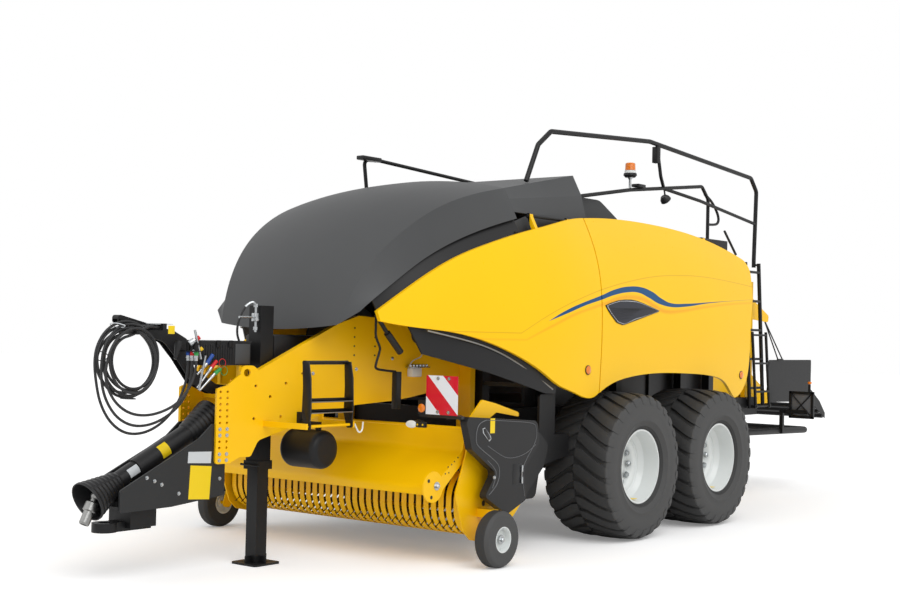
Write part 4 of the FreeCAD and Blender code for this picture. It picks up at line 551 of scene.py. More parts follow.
def tube(name, points, radius, material):
    """A bent round bar through places, made a mesh."""
    picked(smooth_line(name, points, radius, material))
    bpy.ops.object.convert(target="MESH")
    bpy.ops.object.shade_smooth_by_angle(angle=math.radians(SMOOTH))
    return bpy.context.object


def aimed(place, along, turn=0):
    """A matrix that stands a piece made about Z at a place, with its Z along a direction."""
    tilt = Vector(along).to_track_quat("Z", "Y").to_matrix().to_4x4()
    return Matrix.Translation(Vector(place)) @ tilt @ Matrix.Rotation(turn, 4, "Z")


def copy_at(source, matrix):
    """One more copy of a pattern piece, with its own mesh, set down by a matrix."""
    twin = source.copy()
    twin.data = source.data.copy()
    bpy.context.collection.objects.link(twin)
    return set_down(twin, matrix)


def mirrored(thing):
    """A copy on the machine's other side, turned right side out."""
    twin = copy_at(thing, Matrix.Scale(-1, 4, OUT))
    twin.data.flip_normals()
    return twin


def together(things, name, body):
    """Join pieces into one that rides on a body."""
    picked(*things)
    if len(things) > 1:
        bpy.ops.object.join()
    things[0].name = name
    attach(things[0], body)
    return things[0]


def both_sides(parts, name, body):
    """Join parts into one piece on the left side and its mirror image on the right side."""
    twins = [mirrored(part) for part in parts]
    together(parts, f"{name}_left", body.replace("SIDE", "left"))
    together(twins, f"{name}_right", body.replace("SIDE", "right"))


def spare(*things):
    """Take pattern pieces away once their copies are made."""
    for thing in things:
        bpy.data.objects.remove(thing)


print("helpers ready")

# %% [markdown]
# A flotation tyre carries two rows of long curved bars. Each bar runs from the middle to the
# shoulder and on down the side, and the two rows meet in a zigzag. The bars stand on a
# smooth carcass, so their tops are the tyre's real size. One bar is made from a block laid
# on the round, then copied about the axle, and one tyre is copied to four wheels.

# %% Tyres with their tread
low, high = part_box("tyre_left_front")
TYRE_R = (high.z - low.z) / 2
TREAD_DEPTH = 0.026
LINING_R = TYRE_R - 0.075
BARS = 28
BEAD_R = 0.2865
OUTSIDE = [(0.235, BEAD_R), (0.262, BEAD_R + 0.016), (0.27, BEAD_R + 0.018),
           (0.276, BEAD_R + 0.026), (0.274, BEAD_R + 0.032), (0.285, BEAD_R + 0.045),
           (0.299, BEAD_R + 0.08), (0.3035, BEAD_R + 0.084), (0.3045, BEAD_R + 0.092),
           (0.302, BEAD_R + 0.096), (0.308, BEAD_R + 0.15), (0.306, BEAD_R + 0.205),
           (0.3, BEAD_R + 0.24), (0.292, TYRE_R - 0.045), (0.275, TYRE_R - 0.034),
           (0.24, TYRE_R - 0.029), (0.15, TYRE_R - TREAD_DEPTH), (0.06, TYRE_R - TREAD_DEPTH)]
INSIDE = [(0.197, BEAD_R), (0.262, BEAD_R + 0.075), (0.272, BEAD_R + 0.17), (0.25, LINING_R),
          (0.1, LINING_R)]
wall = [(r, w) for w, r in OUTSIDE]
lining = [(r, w) for w, r in INSIDE]
section = (wall + [(r, -w) for r, w in reversed(wall)] + [(r, -w) for r, w in lining]
           + lining[::-1])
carcass = turned("carcass", section, tyre_rubber, 84, smooth=50)

# The line of a bar's top, from the tyre's middle to the shoulder and down the side.
BAR_TOP = [(0.004, TYRE_R - 0.0005), (0.06, TYRE_R - 0.0005), (0.13, TYRE_R - 0.002),
           (0.2, TYRE_R - 0.006), (0.262, TYRE_R - 0.013), (0.292, TYRE_R - 0.028),
           (0.3035, TYRE_R - 0.06), (0.3075, TYRE_R - 0.088)]
BAR_SINK = [0.03, 0.03, 0.028, 0.028, 0.026, 0.022, 0.012, 0.004]
# How far each place on the bar is turned about the axle, in shares of the bars' spacing.
BAR_SWEEP = [0, 0.16, 0.5, 0.82, 1.05, 1.13, 1.18, 1.2]
BAR_WIDTH = [0.5, 0.66, 0.7, 0.7, 0.68, 0.62, 0.52, 0.36]
FOOT_WIDER = 1.16
# The first place on the side, and how much a bar's long edges are rounded there and before.
SIDE_START = 5
SIDE_EASE, TOP_EASE = 0.004, 0.0025
pitch = math.tau / BARS


def tread_bar(side, shift):
    """One bar: a row of blocks laid along the line of its top and wrapped on the round."""
    bpy.ops.object.select_all(action="DESELECT")
    bpy.ops.mesh.primitive_grid_add(x_subdivisions=len(BAR_TOP) - 1, y_subdivisions=3)
    bar = bpy.context.object
    bpy.ops.object.mode_set(mode="EDIT")
    bpy.ops.mesh.select_all(action="SELECT")
    bpy.ops.mesh.extrude_region_move(TRANSFORM_OT_translate={"value": (0, 0, 1)})
    bpy.ops.object.mode_set(mode="OBJECT")
    for vertex in bar.data.vertices:
        along, across, level = vertex.co
        k = min(len(BAR_TOP) - 1, round((along + 1) / 2 * (len(BAR_TOP) - 1)))
        width, radius = BAR_TOP[k]
        top = level > 0.5
        on_edge = top and abs(across) > 0.9
        if k >= SIDE_START:
            # On the side of the tyre the bar stands out along the axle.
            width -= 0 if top else BAR_SINK[k]
            radius -= SIDE_EASE if on_edge else 0
        elif top:
            radius -= TOP_EASE if on_edge else 0
        else:
            radius -= BAR_SINK[k]
        wide = BAR_WIDTH[k] * (1 if top else FOOT_WIDER)
        turn = (shift + BAR_SWEEP[k] + across * wide / 2) * pitch
        vertex.co = (side * width, radius * math.cos(turn), radius * math.sin(turn))
    bpy.ops.object.mode_set(mode="EDIT")
    return end_mesh(bar, tyre_rubber, smooth=30)


set_down(carcass, Matrix.Rotation(math.pi / 2, 4, "Y"))
tread = []
for side, shift in ((1, 0), (-1, 0.5)):
    bar = tread_bar(side, shift)
    tread += [copy_at(bar, Matrix.Rotation(k * pitch, 4, "X")) for k in range(BARS)]
    spare(bar)
picked(carcass, *tread)
bpy.ops.object.join()
for side in ("left", "right"):
    for row in ("front", "rear"):
        low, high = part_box(f"tyre_{side}_{row}")
        tyre = together([copy_at(carcass, Matrix.Translation((low + high) / 2))],
                        f"tread_{side}_{row}", f"wheel_{side}_{row}")
        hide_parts(f"tyre_{side}_{row}")
spare(carcass)
print("tread bars", 2 * BARS, "faces of one tyre", len(tyre.data.polygons))

# %% [markdown]
# Each hose ends in a coupling that is parked on the rack: a crimped sleeve, a plated nut
# and a coloured cap that tells the lines apart. All are turned from their sections.

# %% Hose couplings
SLEEVE = [(0, 0), (0.0115, 0), (0.0125, 0.004), (0.0125, 0.018), (0, 0.018)]
HOSE_NUT = [(0, 0.018), (0.0148, 0.018), (0.0148, 0.034), (0, 0.034)]
CAP = [(0, 0.034), (0.013, 0.034), (0.0146, 0.038), (0.0146, 0.056), (0.012, 0.06), (0, 0.06)]
CAPS = (cap_blue, cap_red, cap_green)
plug_low, plug_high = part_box("hose_plugs")
parts = []
for (start_x, end_x), cap_paint in zip(HOSE_LANES, CAPS):
    stand = Matrix.Translation((end_x, (plug_low.y + plug_high.y) / 2, plug_low.z))
    parts += [turned("sleeve", SLEEVE, zinc_plate, 20, stand),
              turned("hose_nut", HOSE_NUT, zinc_plate, 6, stand),
              turned("cap", CAP, cap_paint, 20, stand)]
plugs = together(parts, "hose_couplings", "chassis")
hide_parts("hose_plugs")

# %% [markdown]
# A second row of couplings leans on the rack beside them, two of them with a plastic loop
# for the cap. A seven-pin plug hangs under the arm, and ties hold the coil.

# %% Rack, plug and ties
# Each leaning coupling: its head, its waist and its tail on the drawing, and its colour.
LEANING = (((-4.172, 1.457), (-4.221, 1.398), (-4.3, 1.33), cap_blue),
           ((-4.148, 1.415), (-4.192, 1.372), (-4.312, 1.24), cap_red),
           ((-4.124, 1.363), (-4.174, 1.329), (-4.3, 1.222), cap_green))
LEAN_X, LEAN_STEP = 0.215, 0.012
CAP_LOOPS = ((-4.102, 1.402, cap_red), (-4.084, 1.35, cap_green))
RACK_VALVES = ((-4.375, 1.54, zinc_plate, 0.02), (-4.326, 1.566, cap_red, 0.014),
               (-4.296, 1.495, cap_yellow, 0.012), (-4.35, 1.48, zinc_plate, 0.017))
RACK_BARS = (((-4.262, 1.452), (-4.312, 1.225)), ((-4.3, 1.43), (-4.36, 1.62)))
# Each tie: its place on the coil, and its tilt in radians.
TIES = ((-4.965, 1.64, 0.5), (-5.085, 1.447, 1.55), (-4.868, 1.18, 3.1))
LOOP_R, LOOP_STEPS, LOOP_START = 0.03, 12, 2.6
TIE_REACH, TIE_R, TIE_STEPS = 0.072, 0.03, 8


def turn_angles(steps, start=0):
    """The angles of one full turn, from its start and back to it."""
    return [k * math.tau / steps + start for k in range(steps + 1)]


parts = []
for index, (top, middle, tail, paint) in enumerate(LEANING):
    head, waist, end = run(LEAN_X + LEAN_STEP * index, top, middle, tail)
    away = head - waist
    grip = [(0, 0), (0.013, 0), (0.015, 0.008), (0.013, 0.03), (0.0135, away.length),
            (0, away.length)]
    parts.append(turned("grip", grip, paint, 16, aimed(waist, away)))
    down = end - waist
    stem = [(0, 0), (0.0115, 0), (0.0115, 0.03), (0.009, 0.034), (0.009, 0.075),
            (0.0075, 0.08), (0.0075, down.length), (0, down.length)]
    parts.append(turned("stem", stem, zinc_plate, 16, aimed(waist, down)))
for y, z, paint in CAP_LOOPS:
    ring = run(0.235, *((y + LOOP_R * math.cos(a), z + LOOP_R * math.sin(a))
                        for a in turn_angles(LOOP_STEPS, LOOP_START)))
    parts.append(tube("cap_loop", ring, 0.0022, paint))
for y, z, paint, size in RACK_VALVES:
    body = [(0, -size), (size, -size), (size * 1.15, 0), (size, size), (0, size)]
    parts.append(turned("valve", body, paint, 12, aimed(spot(0.238, y, z), (0.3, 0.6, 0.5))))
for ends in RACK_BARS:
    parts.append(tube("rack_bar", run(0.246, *ends), 0.008, zinc_plate))
PLUG = [(0, 0), (0.024, 0), (0.026, 0.03), (0.021, 0.05), (0.013, 0.085), (0.01, 0.12), (0, 0.12)]
parts.append(turned("cable_plug", PLUG, moulded_black, 20,
                    aimed(spot(0.235, -4.483, 1.545), (0, -0.25, -1))))
couplings = together(parts, "parked_couplings", "chassis")

parts = [slab((0.17, -4.707, 1.652), (0.262, -4.56, 1.656), label_pale, 0.001),
         slab((0.283, -4.617, 1.592), (0.2845, -4.563, 1.645), label_yellow, 0.0004)]
for y, z, tilt in TIES:
    ring = [spot(0.214 + TIE_REACH * math.cos(a), y + TIE_R * math.sin(a) * math.cos(tilt),
                 z - TIE_R * math.sin(a) * math.sin(tilt))
            for a in turn_angles(TIE_STEPS)]
    parts.append(tube("tie", ring, 0.003, label_pale if tilt < 1 else decal_black))
ties = together(parts, "arm_labels_and_ties", "chassis")
print("arm details", len(couplings.data.polygons) + len(ties.data.polygons))

# %% [markdown]
# The warning boards face the traffic. Their red and white bands run outward and down, so the
# bands are counted along height plus distance from the middle. The bar behind is black.

# %% Striped boards
BOARD_IN, BOARD_OUT = 1.01, 1.296
BOARD_FOOT, BOARD_TOP = 1.064, 1.338
BAND_STEP = 0.296
BAND_START = 0.55
BAND_RED = 0.54
board_film = finish("reflective board film", "#1e1e1f", "#262627", 0.32, 3, 0.03, coat=0.3)
tree, outward, _, height = place_axes(board_film)
on_board = reckon(tree, "MULTIPLY", in_range(tree, outward, BOARD_IN, BOARD_OUT),
                  in_range(tree, height, BOARD_FOOT, BOARD_TOP + 0.01))
steps = reckon(tree, "MULTIPLY", reckon(tree, "ADD", outward, height), 1 / BAND_STEP)
share = reckon(tree, "FRACT", reckon(tree, "ADD", steps, BAND_START))
red = reckon(tree, "LESS_THAN", share, BAND_RED)
tinted(board_film, on_board, "#e6e9ee")
tinted(board_film, reckon(tree, "MULTIPLY", red, on_board), "#d3122b")
dress(nodes["warning_boards"], board_film)
print("board bands every", BAND_STEP)

# %% [markdown]
# Some pieces wear two colours, split by place. The tyres' outer sides are painted a lighter
# grey, a painted highlight for the light that falls on the sidewalls. The pickup's end frames
# are black behind the cutter covers. The chamber is black ahead, where the knotters and the
# drive close it in, and yellow at its rear end.

# %% Two-coloured pieces
SIDEWALL_LIGHT_X = 1.468
FRAME_OUT, FRAME_UP, FRAME_BEHIND = (1.196, 1.47), (0.4, 1.0), -2.36 + TANDEM_Y
CHAMBER_BLACK_TO = 1.95 + TANDEM_Y
tree, outward, _, _ = place_axes(tyre_rubber)
# Painted highlight: the outer sidewalls are a lighter grey where the light falls on them.
tinted(tyre_rubber, in_range(tree, outward, SIDEWALL_LIGHT_X, 2), "#484848")

pickup_paint = finish("pickup enamel", "#ffc800", "#fcc100", 0.34, 12, 0.05)
tree, outward, along, height = place_axes(pickup_paint)
outer = reckon(tree, "MULTIPLY", in_range(tree, outward, *FRAME_OUT),
               in_range(tree, height, *FRAME_UP))
behind = in_range(tree, along, FRAME_BEHIND, 0)
tinted(pickup_paint, reckon(tree, "MULTIPLY", outer, behind), BLACK_PAINT)
dress(nodes["pickup_frame"], pickup_paint)

chamber_paint = finish("chamber enamel", "#f7c104", "#eeb802", 0.34, 12, 0.05)
tree, _, along, _ = place_axes(chamber_paint)
tinted(chamber_paint, reckon(tree, "LESS_THAN", along, CHAMBER_BLACK_TO), BLACK_PAINT)
dress(nodes["bale_chamber"], chamber_paint)

light_film = finish("light board enamel", "#1d1d1e", "#252526", 0.36, 6, 0.05, coat=0.2)
dress(nodes["rear_light_boards"], light_film)
print("chamber black up to y", round(CHAMBER_BLACK_TO, 2))

# %% [markdown]
# Beside each board sit an amber reflector and an oval lamp, with the board's four bolts and a
# small junction box. They ride on the pickup, because the boards rise with it.

# %% Board lamps and bolts
bolt = turned("bolt", [(0, 0), (0.013, 0), (0.013, 0.002), (0.009, 0.0022), (0.009, 0.009),
                       (0, 0.01)], zinc_plate, 12)


def bolt_at(x, y, z, along):
    """A copy of the bolt at a place on the drawing, with its head along a direction."""
    return copy_at(bolt, aimed(spot(x, y, z), along))


REFLECTOR = [(0, 0), (0.03, 0), (0.031, 0.004), (0.03, 0.008), (0.024, 0.012), (0, 0.015)]
LAMP = [(0, 0), (0.02, 0), (0.045, -0.02), (0.052, -0.038), (0.046, -0.05), (0, -0.05)]
GLASS = [(0, 0), (0.05, 0), (0.046, 0.007), (0.028, 0.012), (0, 0.013)]
OVAL = Matrix.Scale(0.55, 4, BACK)
parts = [bolt_at(x, -2.8851, z, AHEAD) for x in (BOARD_IN + 0.11, BOARD_OUT - 0.08)
         for z in (BOARD_FOOT + 0.02, BOARD_TOP - 0.02)]
parts += [turned("reflector", REFLECTOR, lens_amber, 28, aimed(spot(0.977, -2.886, 1.104), AHEAD)),
          slab((0.94, -2.886, 1.062), (1.012, -2.88, 1.16), frame_black),
          turned("lamp", LAMP, moulded_black, 28, aimed(spot(0.88, -2.832, 0.985), AHEAD) @ OVAL),
          turned("glass", GLASS, lamp_white, 28, aimed(spot(0.88, -2.882, 0.985), AHEAD) @ OVAL),
          slab((0.925, -2.89, 0.966), (1.01, -2.862, 1.006), moulded_black, 0.005)]
for x in (0.943, 0.991):
    parts.append(turned("stud", [(0, 0), (0.007, 0), (0.006, 0.004), (0, 0.005)], cap_yellow, 12,
                        aimed(spot(x, -2.8905, 0.986), AHEAD)))
both_sides(parts, "board_lamps", "pickup")
print("board lamps", 2)

# %% [markdown]
# An air vent with a black frame is let into each rear shield, below the blue band. It is a
# stack of plates that follow the skin: a frame, a thin pale line, and a dark net inside. The
# skin bulges outward, so every corner of the outline takes its own place on the skin.

# %% Vents and side markers
SKIN_X = 1.29
# Where the skin starts to fall in at its front, rear, top and foot, and how fast.
FRONT_START, REAR_START, TOP_START, FOOT_START = -1.1, 0.5, 1.6, 1.5
FRONT_FALL, REAR_FALL, TOP_FALL, FOOT_FALL = 0.118, 0.02, 0.27, 0.14
VENT = [(-0.958, 1.889), (-0.86, 1.914), (-0.759, 1.934), (-0.65, 1.945), (-0.549, 1.948),
        (-0.455, 1.94), (-0.367, 1.925), (-0.235, 1.896), (-0.112, 1.869), (-0.128, 1.858),
        (-0.31, 1.82), (-0.5, 1.779), (-0.69, 1.739), (-0.725, 1.735), (-0.813, 1.753),
        (-0.9, 1.82), (-0.951, 1.872)]
VENT_MIDDLE = (-0.575, 1.85)
# A long outline is drawn in further along its length than across it.
LENGTHWAYS = 1.6
VENT_RIBS = 7
RIB_THICK, RIB_ARCH = 0.003, 0.045


def skin_x(y, z):
    """How far out the shield's skin is at a place on the drawing."""
    return (SKIN_X - FRONT_FALL * max(0, FRONT_START - y) ** 2
            - REAR_FALL * max(0, y - REAR_START) ** 2 - TOP_FALL * max(0, z - TOP_START) ** 2
            - FOOT_FALL * max(0, FOOT_START - z) ** 2)


def drawn_in(outline, middle, amount):
    """The same outline with each corner moved towards its middle by an amount in metres."""
    moved = []
    for y, z in outline:
        away = Vector((middle[0] - y, middle[1] - z))
        moved.append((y + away.x / away.length * min(amount * LENGTHWAYS, away.length),
                      z + away.y / away.length * amount))
    return moved


def skin_plate(name, outline, lift, depth, material, bevel=0.0015):
    """A plate that lies on the shield's skin, from a low side to a depth above it."""
    places = [spot(skin_x(y, z) + lift, y, z) for y, z in outline]
    return plate(name, places, (depth, 0, 0), material, bevel)


vent_dark = finish("vent net", "#2d2e35", "#3b3c43", 0.55, 9, 0.6)
line, net = (drawn_in(VENT, VENT_MIDDLE, amount) for amount in (0.012, 0.017))
parts = [skin_plate("vent_frame", VENT, -0.004, 0.01, moulded_black),
         skin_plate("vent_line", line, 0, 0.0075, label_pale, 0.0005),
         skin_plate("vent_net", net, 0.001, 0.0078, vent_dark, 0.0005)]
for k in range(VENT_RIBS):
    share = (k + 1) / (VENT_RIBS + 1)
    y0, z0 = -0.93 + 0.1 * share, 1.879 - 0.125 * share
    y1, z1 = -0.16 - 0.52 * share, 1.876 + RIB_ARCH * math.sin(math.pi * share) - 0.11 * share
    rib = [(y0, z0), (y1, z1), (y1, z1 + RIB_THICK), (y0, z0 + RIB_THICK)]
    parts.append(skin_plate("vent_rib", rib, 0.004, 0.0062, moulded_black, 0))
both_sides(parts, "shield_vent", "rear_shield_SIDE_body")

marker = turned("marker", [(0, 0), (0.034, 0), (0.035, 0.003), (0.031, 0.009), (0.018, 0.013),
                           (0, 0.014)], lens_amber, 32)
marker_ring = turned("marker_ring", [(0.033, 0), (0.038, 0), (0.038, 0.004), (0.033, 0.006)],
                     moulded_black, 32)
for row, y, z in (("front", -1.222, 1.372), ("rear", 1.43, 1.309)):
    seat = aimed(spot(skin_x(y, z) - 0.001, y, z), OUT)
    both_sides([copy_at(marker, seat), copy_at(marker_ring, seat)], f"side_marker_{row}",
               f"{row}_shield_SIDE_body")
spare(marker, marker_ring)
print("vent corners", len(VENT))

# %% [markdown]
# Ten wheel nuts, a valve and a blank yellow label finish each rim, and one nut holds each
# small rim. A nut is a hexagon spun in six steps, with a round washer under it.

# %% Wheel nuts
NUT_RING = 0.15
NUTS = 10
NUT_SEAT = 0.051
nut = turned("nut", [(0, 0), (0.021, 0), (0.021, 0.02), (0.017, 0.024), (0, 0.024)], zinc_plate, 6)
washer = turned("washer", [(0, 0), (0.026, 0), (0.026, 0.004), (0, 0.004)], zinc_plate, 20)
cap = turned("hub_cap", [(0, 0), (0.066, 0), (0.064, 0.02), (0.05, 0.03), (0, 0.033)],
             rim_white, 32)
valve = turned("valve", [(0, 0), (0.007, 0), (0.007, 0.05), (0.004, 0.06), (0, 0.06)],
               zinc_plate, 10)
GAUGE_HUB = [(0, 0), (0.034, 0), (0.032, 0.006), (0.022, 0.008), (0, 0.008)]
GAUGE_HUB_IN = 0.022


def off_rim(middle, out, x, y=0, z=0):
    """A place outward from a rim's middle, on either side of the machine."""
    return middle + Vector((out * x, y, z))


for side, out in (("left", 1), ("right", -1)):
    outward = (out, 0, 0)
    for row in ("front", "rear"):
        low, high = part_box(f"rim_{side}_{row}")
        middle = (low + high) / 2
        parts = []
        for k in range(NUTS):
            a = k * math.tau / NUTS
            place = off_rim(middle, out, NUT_SEAT, NUT_RING * math.cos(a), NUT_RING * math.sin(a))
            parts.append(copy_at(nut, aimed(place, outward, a)))
            parts.append(copy_at(washer, aimed(place, outward)))
        parts.append(copy_at(cap, aimed(off_rim(middle, out, 0.03), outward)))
        parts.append(copy_at(valve, aimed(off_rim(middle, out, 0.07, -0.16, 0.19),
                                          (out * 0.75, 0.3, -0.35))))
        parts.append(block(off_rim(middle, out, 0.15, -0.035, -0.268),
                           off_rim(middle, out, 0.215, 0.035, -0.264), label_yellow, 0.0005))
        together(parts, f"nuts_{side}_{row}", f"wheel_{side}_{row}")
    low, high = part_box(f"gauge_rim_{side}")
    middle = (low + high) / 2
    middle.x = (high.x if out > 0 else low.x) - out * GAUGE_HUB_IN
    hold = aimed(middle, outward)
    on_hub = Matrix.Scale(0.8, 4) @ Matrix.Translation((0, 0, 0.008))
    together([turned("gauge_hub", GAUGE_HUB, zinc_plate, 24, hold), copy_at(nut, hold @ on_hub)],
             f"gauge_nut_{side}", f"gauge_wheel_{side}")
spare(washer, cap, valve)
print("nuts", 4 * NUTS)

# %% [markdown]
# The driveline's guard carries a yellow label on its rear tube, and a silver one and a small
# grey one on its front tube. They are blank: only their colour and place matter. A label is
# a small grid wrapped on the tube, so it follows the guard as it rises and slides.

# %% Driveline labels
SLOPE = math.radians(26)
LINE = Vector((0, -math.cos(SLOPE), -math.sin(SLOPE)))
REAR_JOINT = spot(0, -3.96, 1.028)
OVER = Vector((0, -math.sin(SLOPE), math.cos(SLOPE)))
SIDE = Vector(OUT)
GUARD_R, INNER_R = 0.0712, 0.0612
LABEL_STEPS = 10
LABEL_THICK = 0.0008


def wrapped(name, start, length, radius, low, high, material):
    """A thin patch on the guard's tube, between two angles measured from its left side."""
    bpy.ops.object.select_all(action="DESELECT")
    bpy.ops.mesh.primitive_grid_add(x_subdivisions=1, y_subdivisions=LABEL_STEPS)
    patch = bpy.context.object
    patch.name = name
    for vertex in patch.data.vertices:
        along, around, _ = vertex.co
        angle = math.radians(low + (high - low) * (around + 1) / 2)
        vertex.co = (REAR_JOINT + LINE * (start + length * (along + 1) / 2)
                     + (SIDE * math.cos(angle) + OVER * math.sin(angle)) * radius)
    bpy.ops.object.mode_set(mode="EDIT")
    bpy.ops.mesh.select_all(action="SELECT")
    bpy.ops.mesh.normals_make_consistent(inside=False)
    bpy.ops.object.mode_set(mode="OBJECT")
    bpy.ops.object.modifier_add(type="SOLIDIFY")
    patch.modifiers[-1].thickness = LABEL_THICK
    bpy.ops.object.modifier_apply(modifier=patch.modifiers[-1].name)
    bpy.ops.object.shade_smooth_by_angle(angle=math.radians(SMOOTH))
    dress(patch, material)
    return patch


together([wrapped("yellow_label", 0.475, 0.075, GUARD_R, -18, 62, label_yellow)],
         "guard_label_rear", "pto_rear")
together([wrapped("silver_label", 0.745, 0.085, INNER_R, -8, 50, label_pale),
          wrapped("grey_label", 0.815, 0.03, INNER_R, -55, -15, zinc_plate)],
         "guard_labels_front", "pto_front")
print("guard labels", 3)

# %% [markdown]
# Bare plates and bolts stand on the tongue and on the drawbar: two small blank labels, plated
# bolts in the lower holes, and rows of small black heads towards the drawbar's rear.

# %% Tongue and drawbar fittings
TONGUE_X = 0.1742
BOLT_SINK = 0.0005
LOW_LABEL = ((-4.318, 0.5), (-4.135, 0.487), (-4.12, 0.708), (-4.305, 0.723))
TOP_LABEL = ((-4.33, 0.74), (-4.128, 0.728), (-4.124, 0.806), (-4.326, 0.814))
TONGUE_BOLTS = ((-4.668, 0.665), (-4.605, 0.64), (-4.545, 0.613), (-4.045, 0.62), (-4.045, 0.86),
                (-4.4, 0.545))
DRAWBAR_FRONT_Y, DRAWBAR_X, DRAWBAR_SPREAD = -4.106, 0.194, 0.18
PLATE_OUT = (1, -DRAWBAR_SPREAD, 0)
BLACK_BOLTS, BLACK_BOLT_TOP, BLACK_BOLT_STEP = 4, 1.66, 0.066


def drawbar_x(y):
    """The outside of the drawbar's plate, which spreads towards the rear."""
    return DRAWBAR_X + DRAWBAR_SPREAD * (y - DRAWBAR_FRONT_Y)


def on_drawbar(pattern, y, z):
    """A copy of a bolt on the drawbar's plate."""
    return copy_at(pattern, aimed(spot(drawbar_x(y) - BOLT_SINK, y, z), PLATE_OUT))


together([plate("low_label", run(TONGUE_X, *LOW_LABEL), (LABEL_THICK, 0, 0), label_yellow, 0),
          plate("top_label", run(TONGUE_X, *TOP_LABEL), (LABEL_THICK, 0, 0), label_pale, 0)],
         "tongue_labels", "chassis")
parts = [bolt_at(TONGUE_X - BOLT_SINK, y, z, OUT) for y, z in TONGUE_BOLTS]
both_sides(parts, "tongue_bolts", "chassis")
black_bolt = copy_at(bolt, Matrix.Scale(0.55, 4))
dress(black_bolt, decal_black)
parts = [on_drawbar(bolt, DRAWBAR_FRONT_Y + column, z) for column in (0.03, 0.085)
         for z in (0.745, 0.787, 0.913, 0.955)]
parts += [on_drawbar(black_bolt, y, BLACK_BOLT_TOP - BLACK_BOLT_STEP * k)
          for y in (-2.972, -2.785) for k in range(BLACK_BOLTS)]
both_sides(parts, "drawbar_bolts", "chassis")
spare(black_bolt)
print("drawbar fittings", len(parts))

# %% [markdown]
# The crop cutter's cover is one moulded lid. Pressed lines run round it, a handle slot sits
# at its front, a square recess holds a bright latch, and a blank yellow label is on top.

# %% Cutter cover details
COVER_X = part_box("cutter_covers")[1].x
BEAD_LIFT = 0.0005
SLOT = ((-2.668, 0.972), (-2.64, 0.98), (-2.568, 0.916), (-2.56, 0.892), (-2.586, 0.878),
        (-2.66, 0.94))
SLOT_MIDDLE = (-2.613, 0.93)
# Each plate on the cover: its name, outline, lift, thickness, finish and bevel.
COVER_PLATES = (
    ("slot_rim", SLOT, -0.001, 0.004, zinc_plate, 0.001),
    ("slot_dark", drawn_in(SLOT, SLOT_MIDDLE, 0.008), -0.001, 0.0048, decal_black, 0.001),
    ("cover_label", ((-2.574, 1.04), (-2.52, 1.04), (-2.52, 0.935), (-2.574, 0.935)),
     0, 0.001, label_yellow, 0),
    ("latch_recess", ((-2.29, 0.7), (-2.18, 0.7), (-2.18, 0.552), (-2.29, 0.552)),
     0, 0.0015, decal_black, 0.001))
# Each part of the latch: its low and high corners as lift, y and z, its finish and bevel.
LATCH = (((0.001, -2.196, 0.555), (0.014, -2.178, 0.605), zinc_plate, 0.003),
         ((0.001, -2.196, 0.64), (0.014, -2.178, 0.69), zinc_plate, 0.003),
         ((0.001, -2.192, 0.565), (0.009, -2.182, 0.69), bare_steel, 0.002))
# Each pressed line: its name, radius and points.
BEADS = (
    ("front_bead", 0.0035,
     ((-2.62, 1.03), (-2.7, 1.018), (-2.735, 0.955), (-2.74, 0.88), (-2.7, 0.84), (-2.5, 0.735),
      (-2.455, 0.69), (-2.455, 0.61), (-2.5, 0.545), (-2.575, 0.5))),
    ("inner_bead", 0.0028, ((-2.6, 0.745), (-2.52, 0.695), (-2.48, 0.64), (-2.535, 0.545))),
    ("scoop_bead", 0.0022,
     ((-2.6, 0.848), (-2.5, 0.8), (-2.37, 0.745), (-2.22, 0.75), (-2.1, 0.78), (-2.01, 0.83))),
    ("top_bead", 0.0022,
     ((-2.62, 1.03), (-2.3, 1.012), (-2.04, 0.99), (-2.005, 0.96), (-1.995, 0.86), (-2.165, 0.69),
      (-2.175, 0.6), (-2.14, 0.46))))
edge_line = finish("worn moulded edge", "#6b6c6e", "#5a5b5d", 0.3, 4, 0.05)
parts = [plate(name, run(COVER_X + lift, *outline), (depth, 0, 0), paint, bevel)
         for name, outline, lift, depth, paint, bevel in COVER_PLATES]
on_cover = Vector((COVER_X, 0, 0))
parts += [block(on_cover + spot(*low), on_cover + spot(*high), paint, bevel)
          for low, high, paint, bevel in LATCH]
parts += [tube(name, run(COVER_X + BEAD_LIFT, *line), radius, edge_line)
          for name, radius, line in BEADS]
parts.append(bolt_at(COVER_X - 0.001, -2.515, 0.62, OUT))
both_sides(parts, "cover_fittings", "pickup")
print("cover parts", len(parts))

# %% [markdown]
# A dark moulded band closes the gap between the cowl and the shield. It follows the shield's
# top edge to the split, and it stays on the frame when the shield swings up. A plain black
# cover hides the drive shaft between the drawbar's plates.

# %% Cowl band and drive cover
COWL_BAND = ((-1.84, 2.485), (-1.605, 2.562), (-1.373, 2.594), (-1.161, 2.611), (-0.987, 2.62),
             (-0.9, 2.604), (-0.9, 2.53), (-1.2, 2.49), (-1.5, 2.43), (-1.84, 2.34))
band = plate("cowl_band", run(0.914, *COWL_BAND), (0.006, 0, 0), hood_grey)
both_sides([band], "cowl_band", "chassis")
together([slab((-0.15, -3.54, 1.36), (0.15, -2.78, 1.6), moulded_black, 0.02)],
         "drive_cover", "chassis")
print("cowl band corners", len(COWL_BAND))

# %% [markdown]
# The beacon is a stack of turned parts: a neck, a black dish, a white band and an amber dome
# with a ribbed lens. It takes the plain solid's place on the low rail.

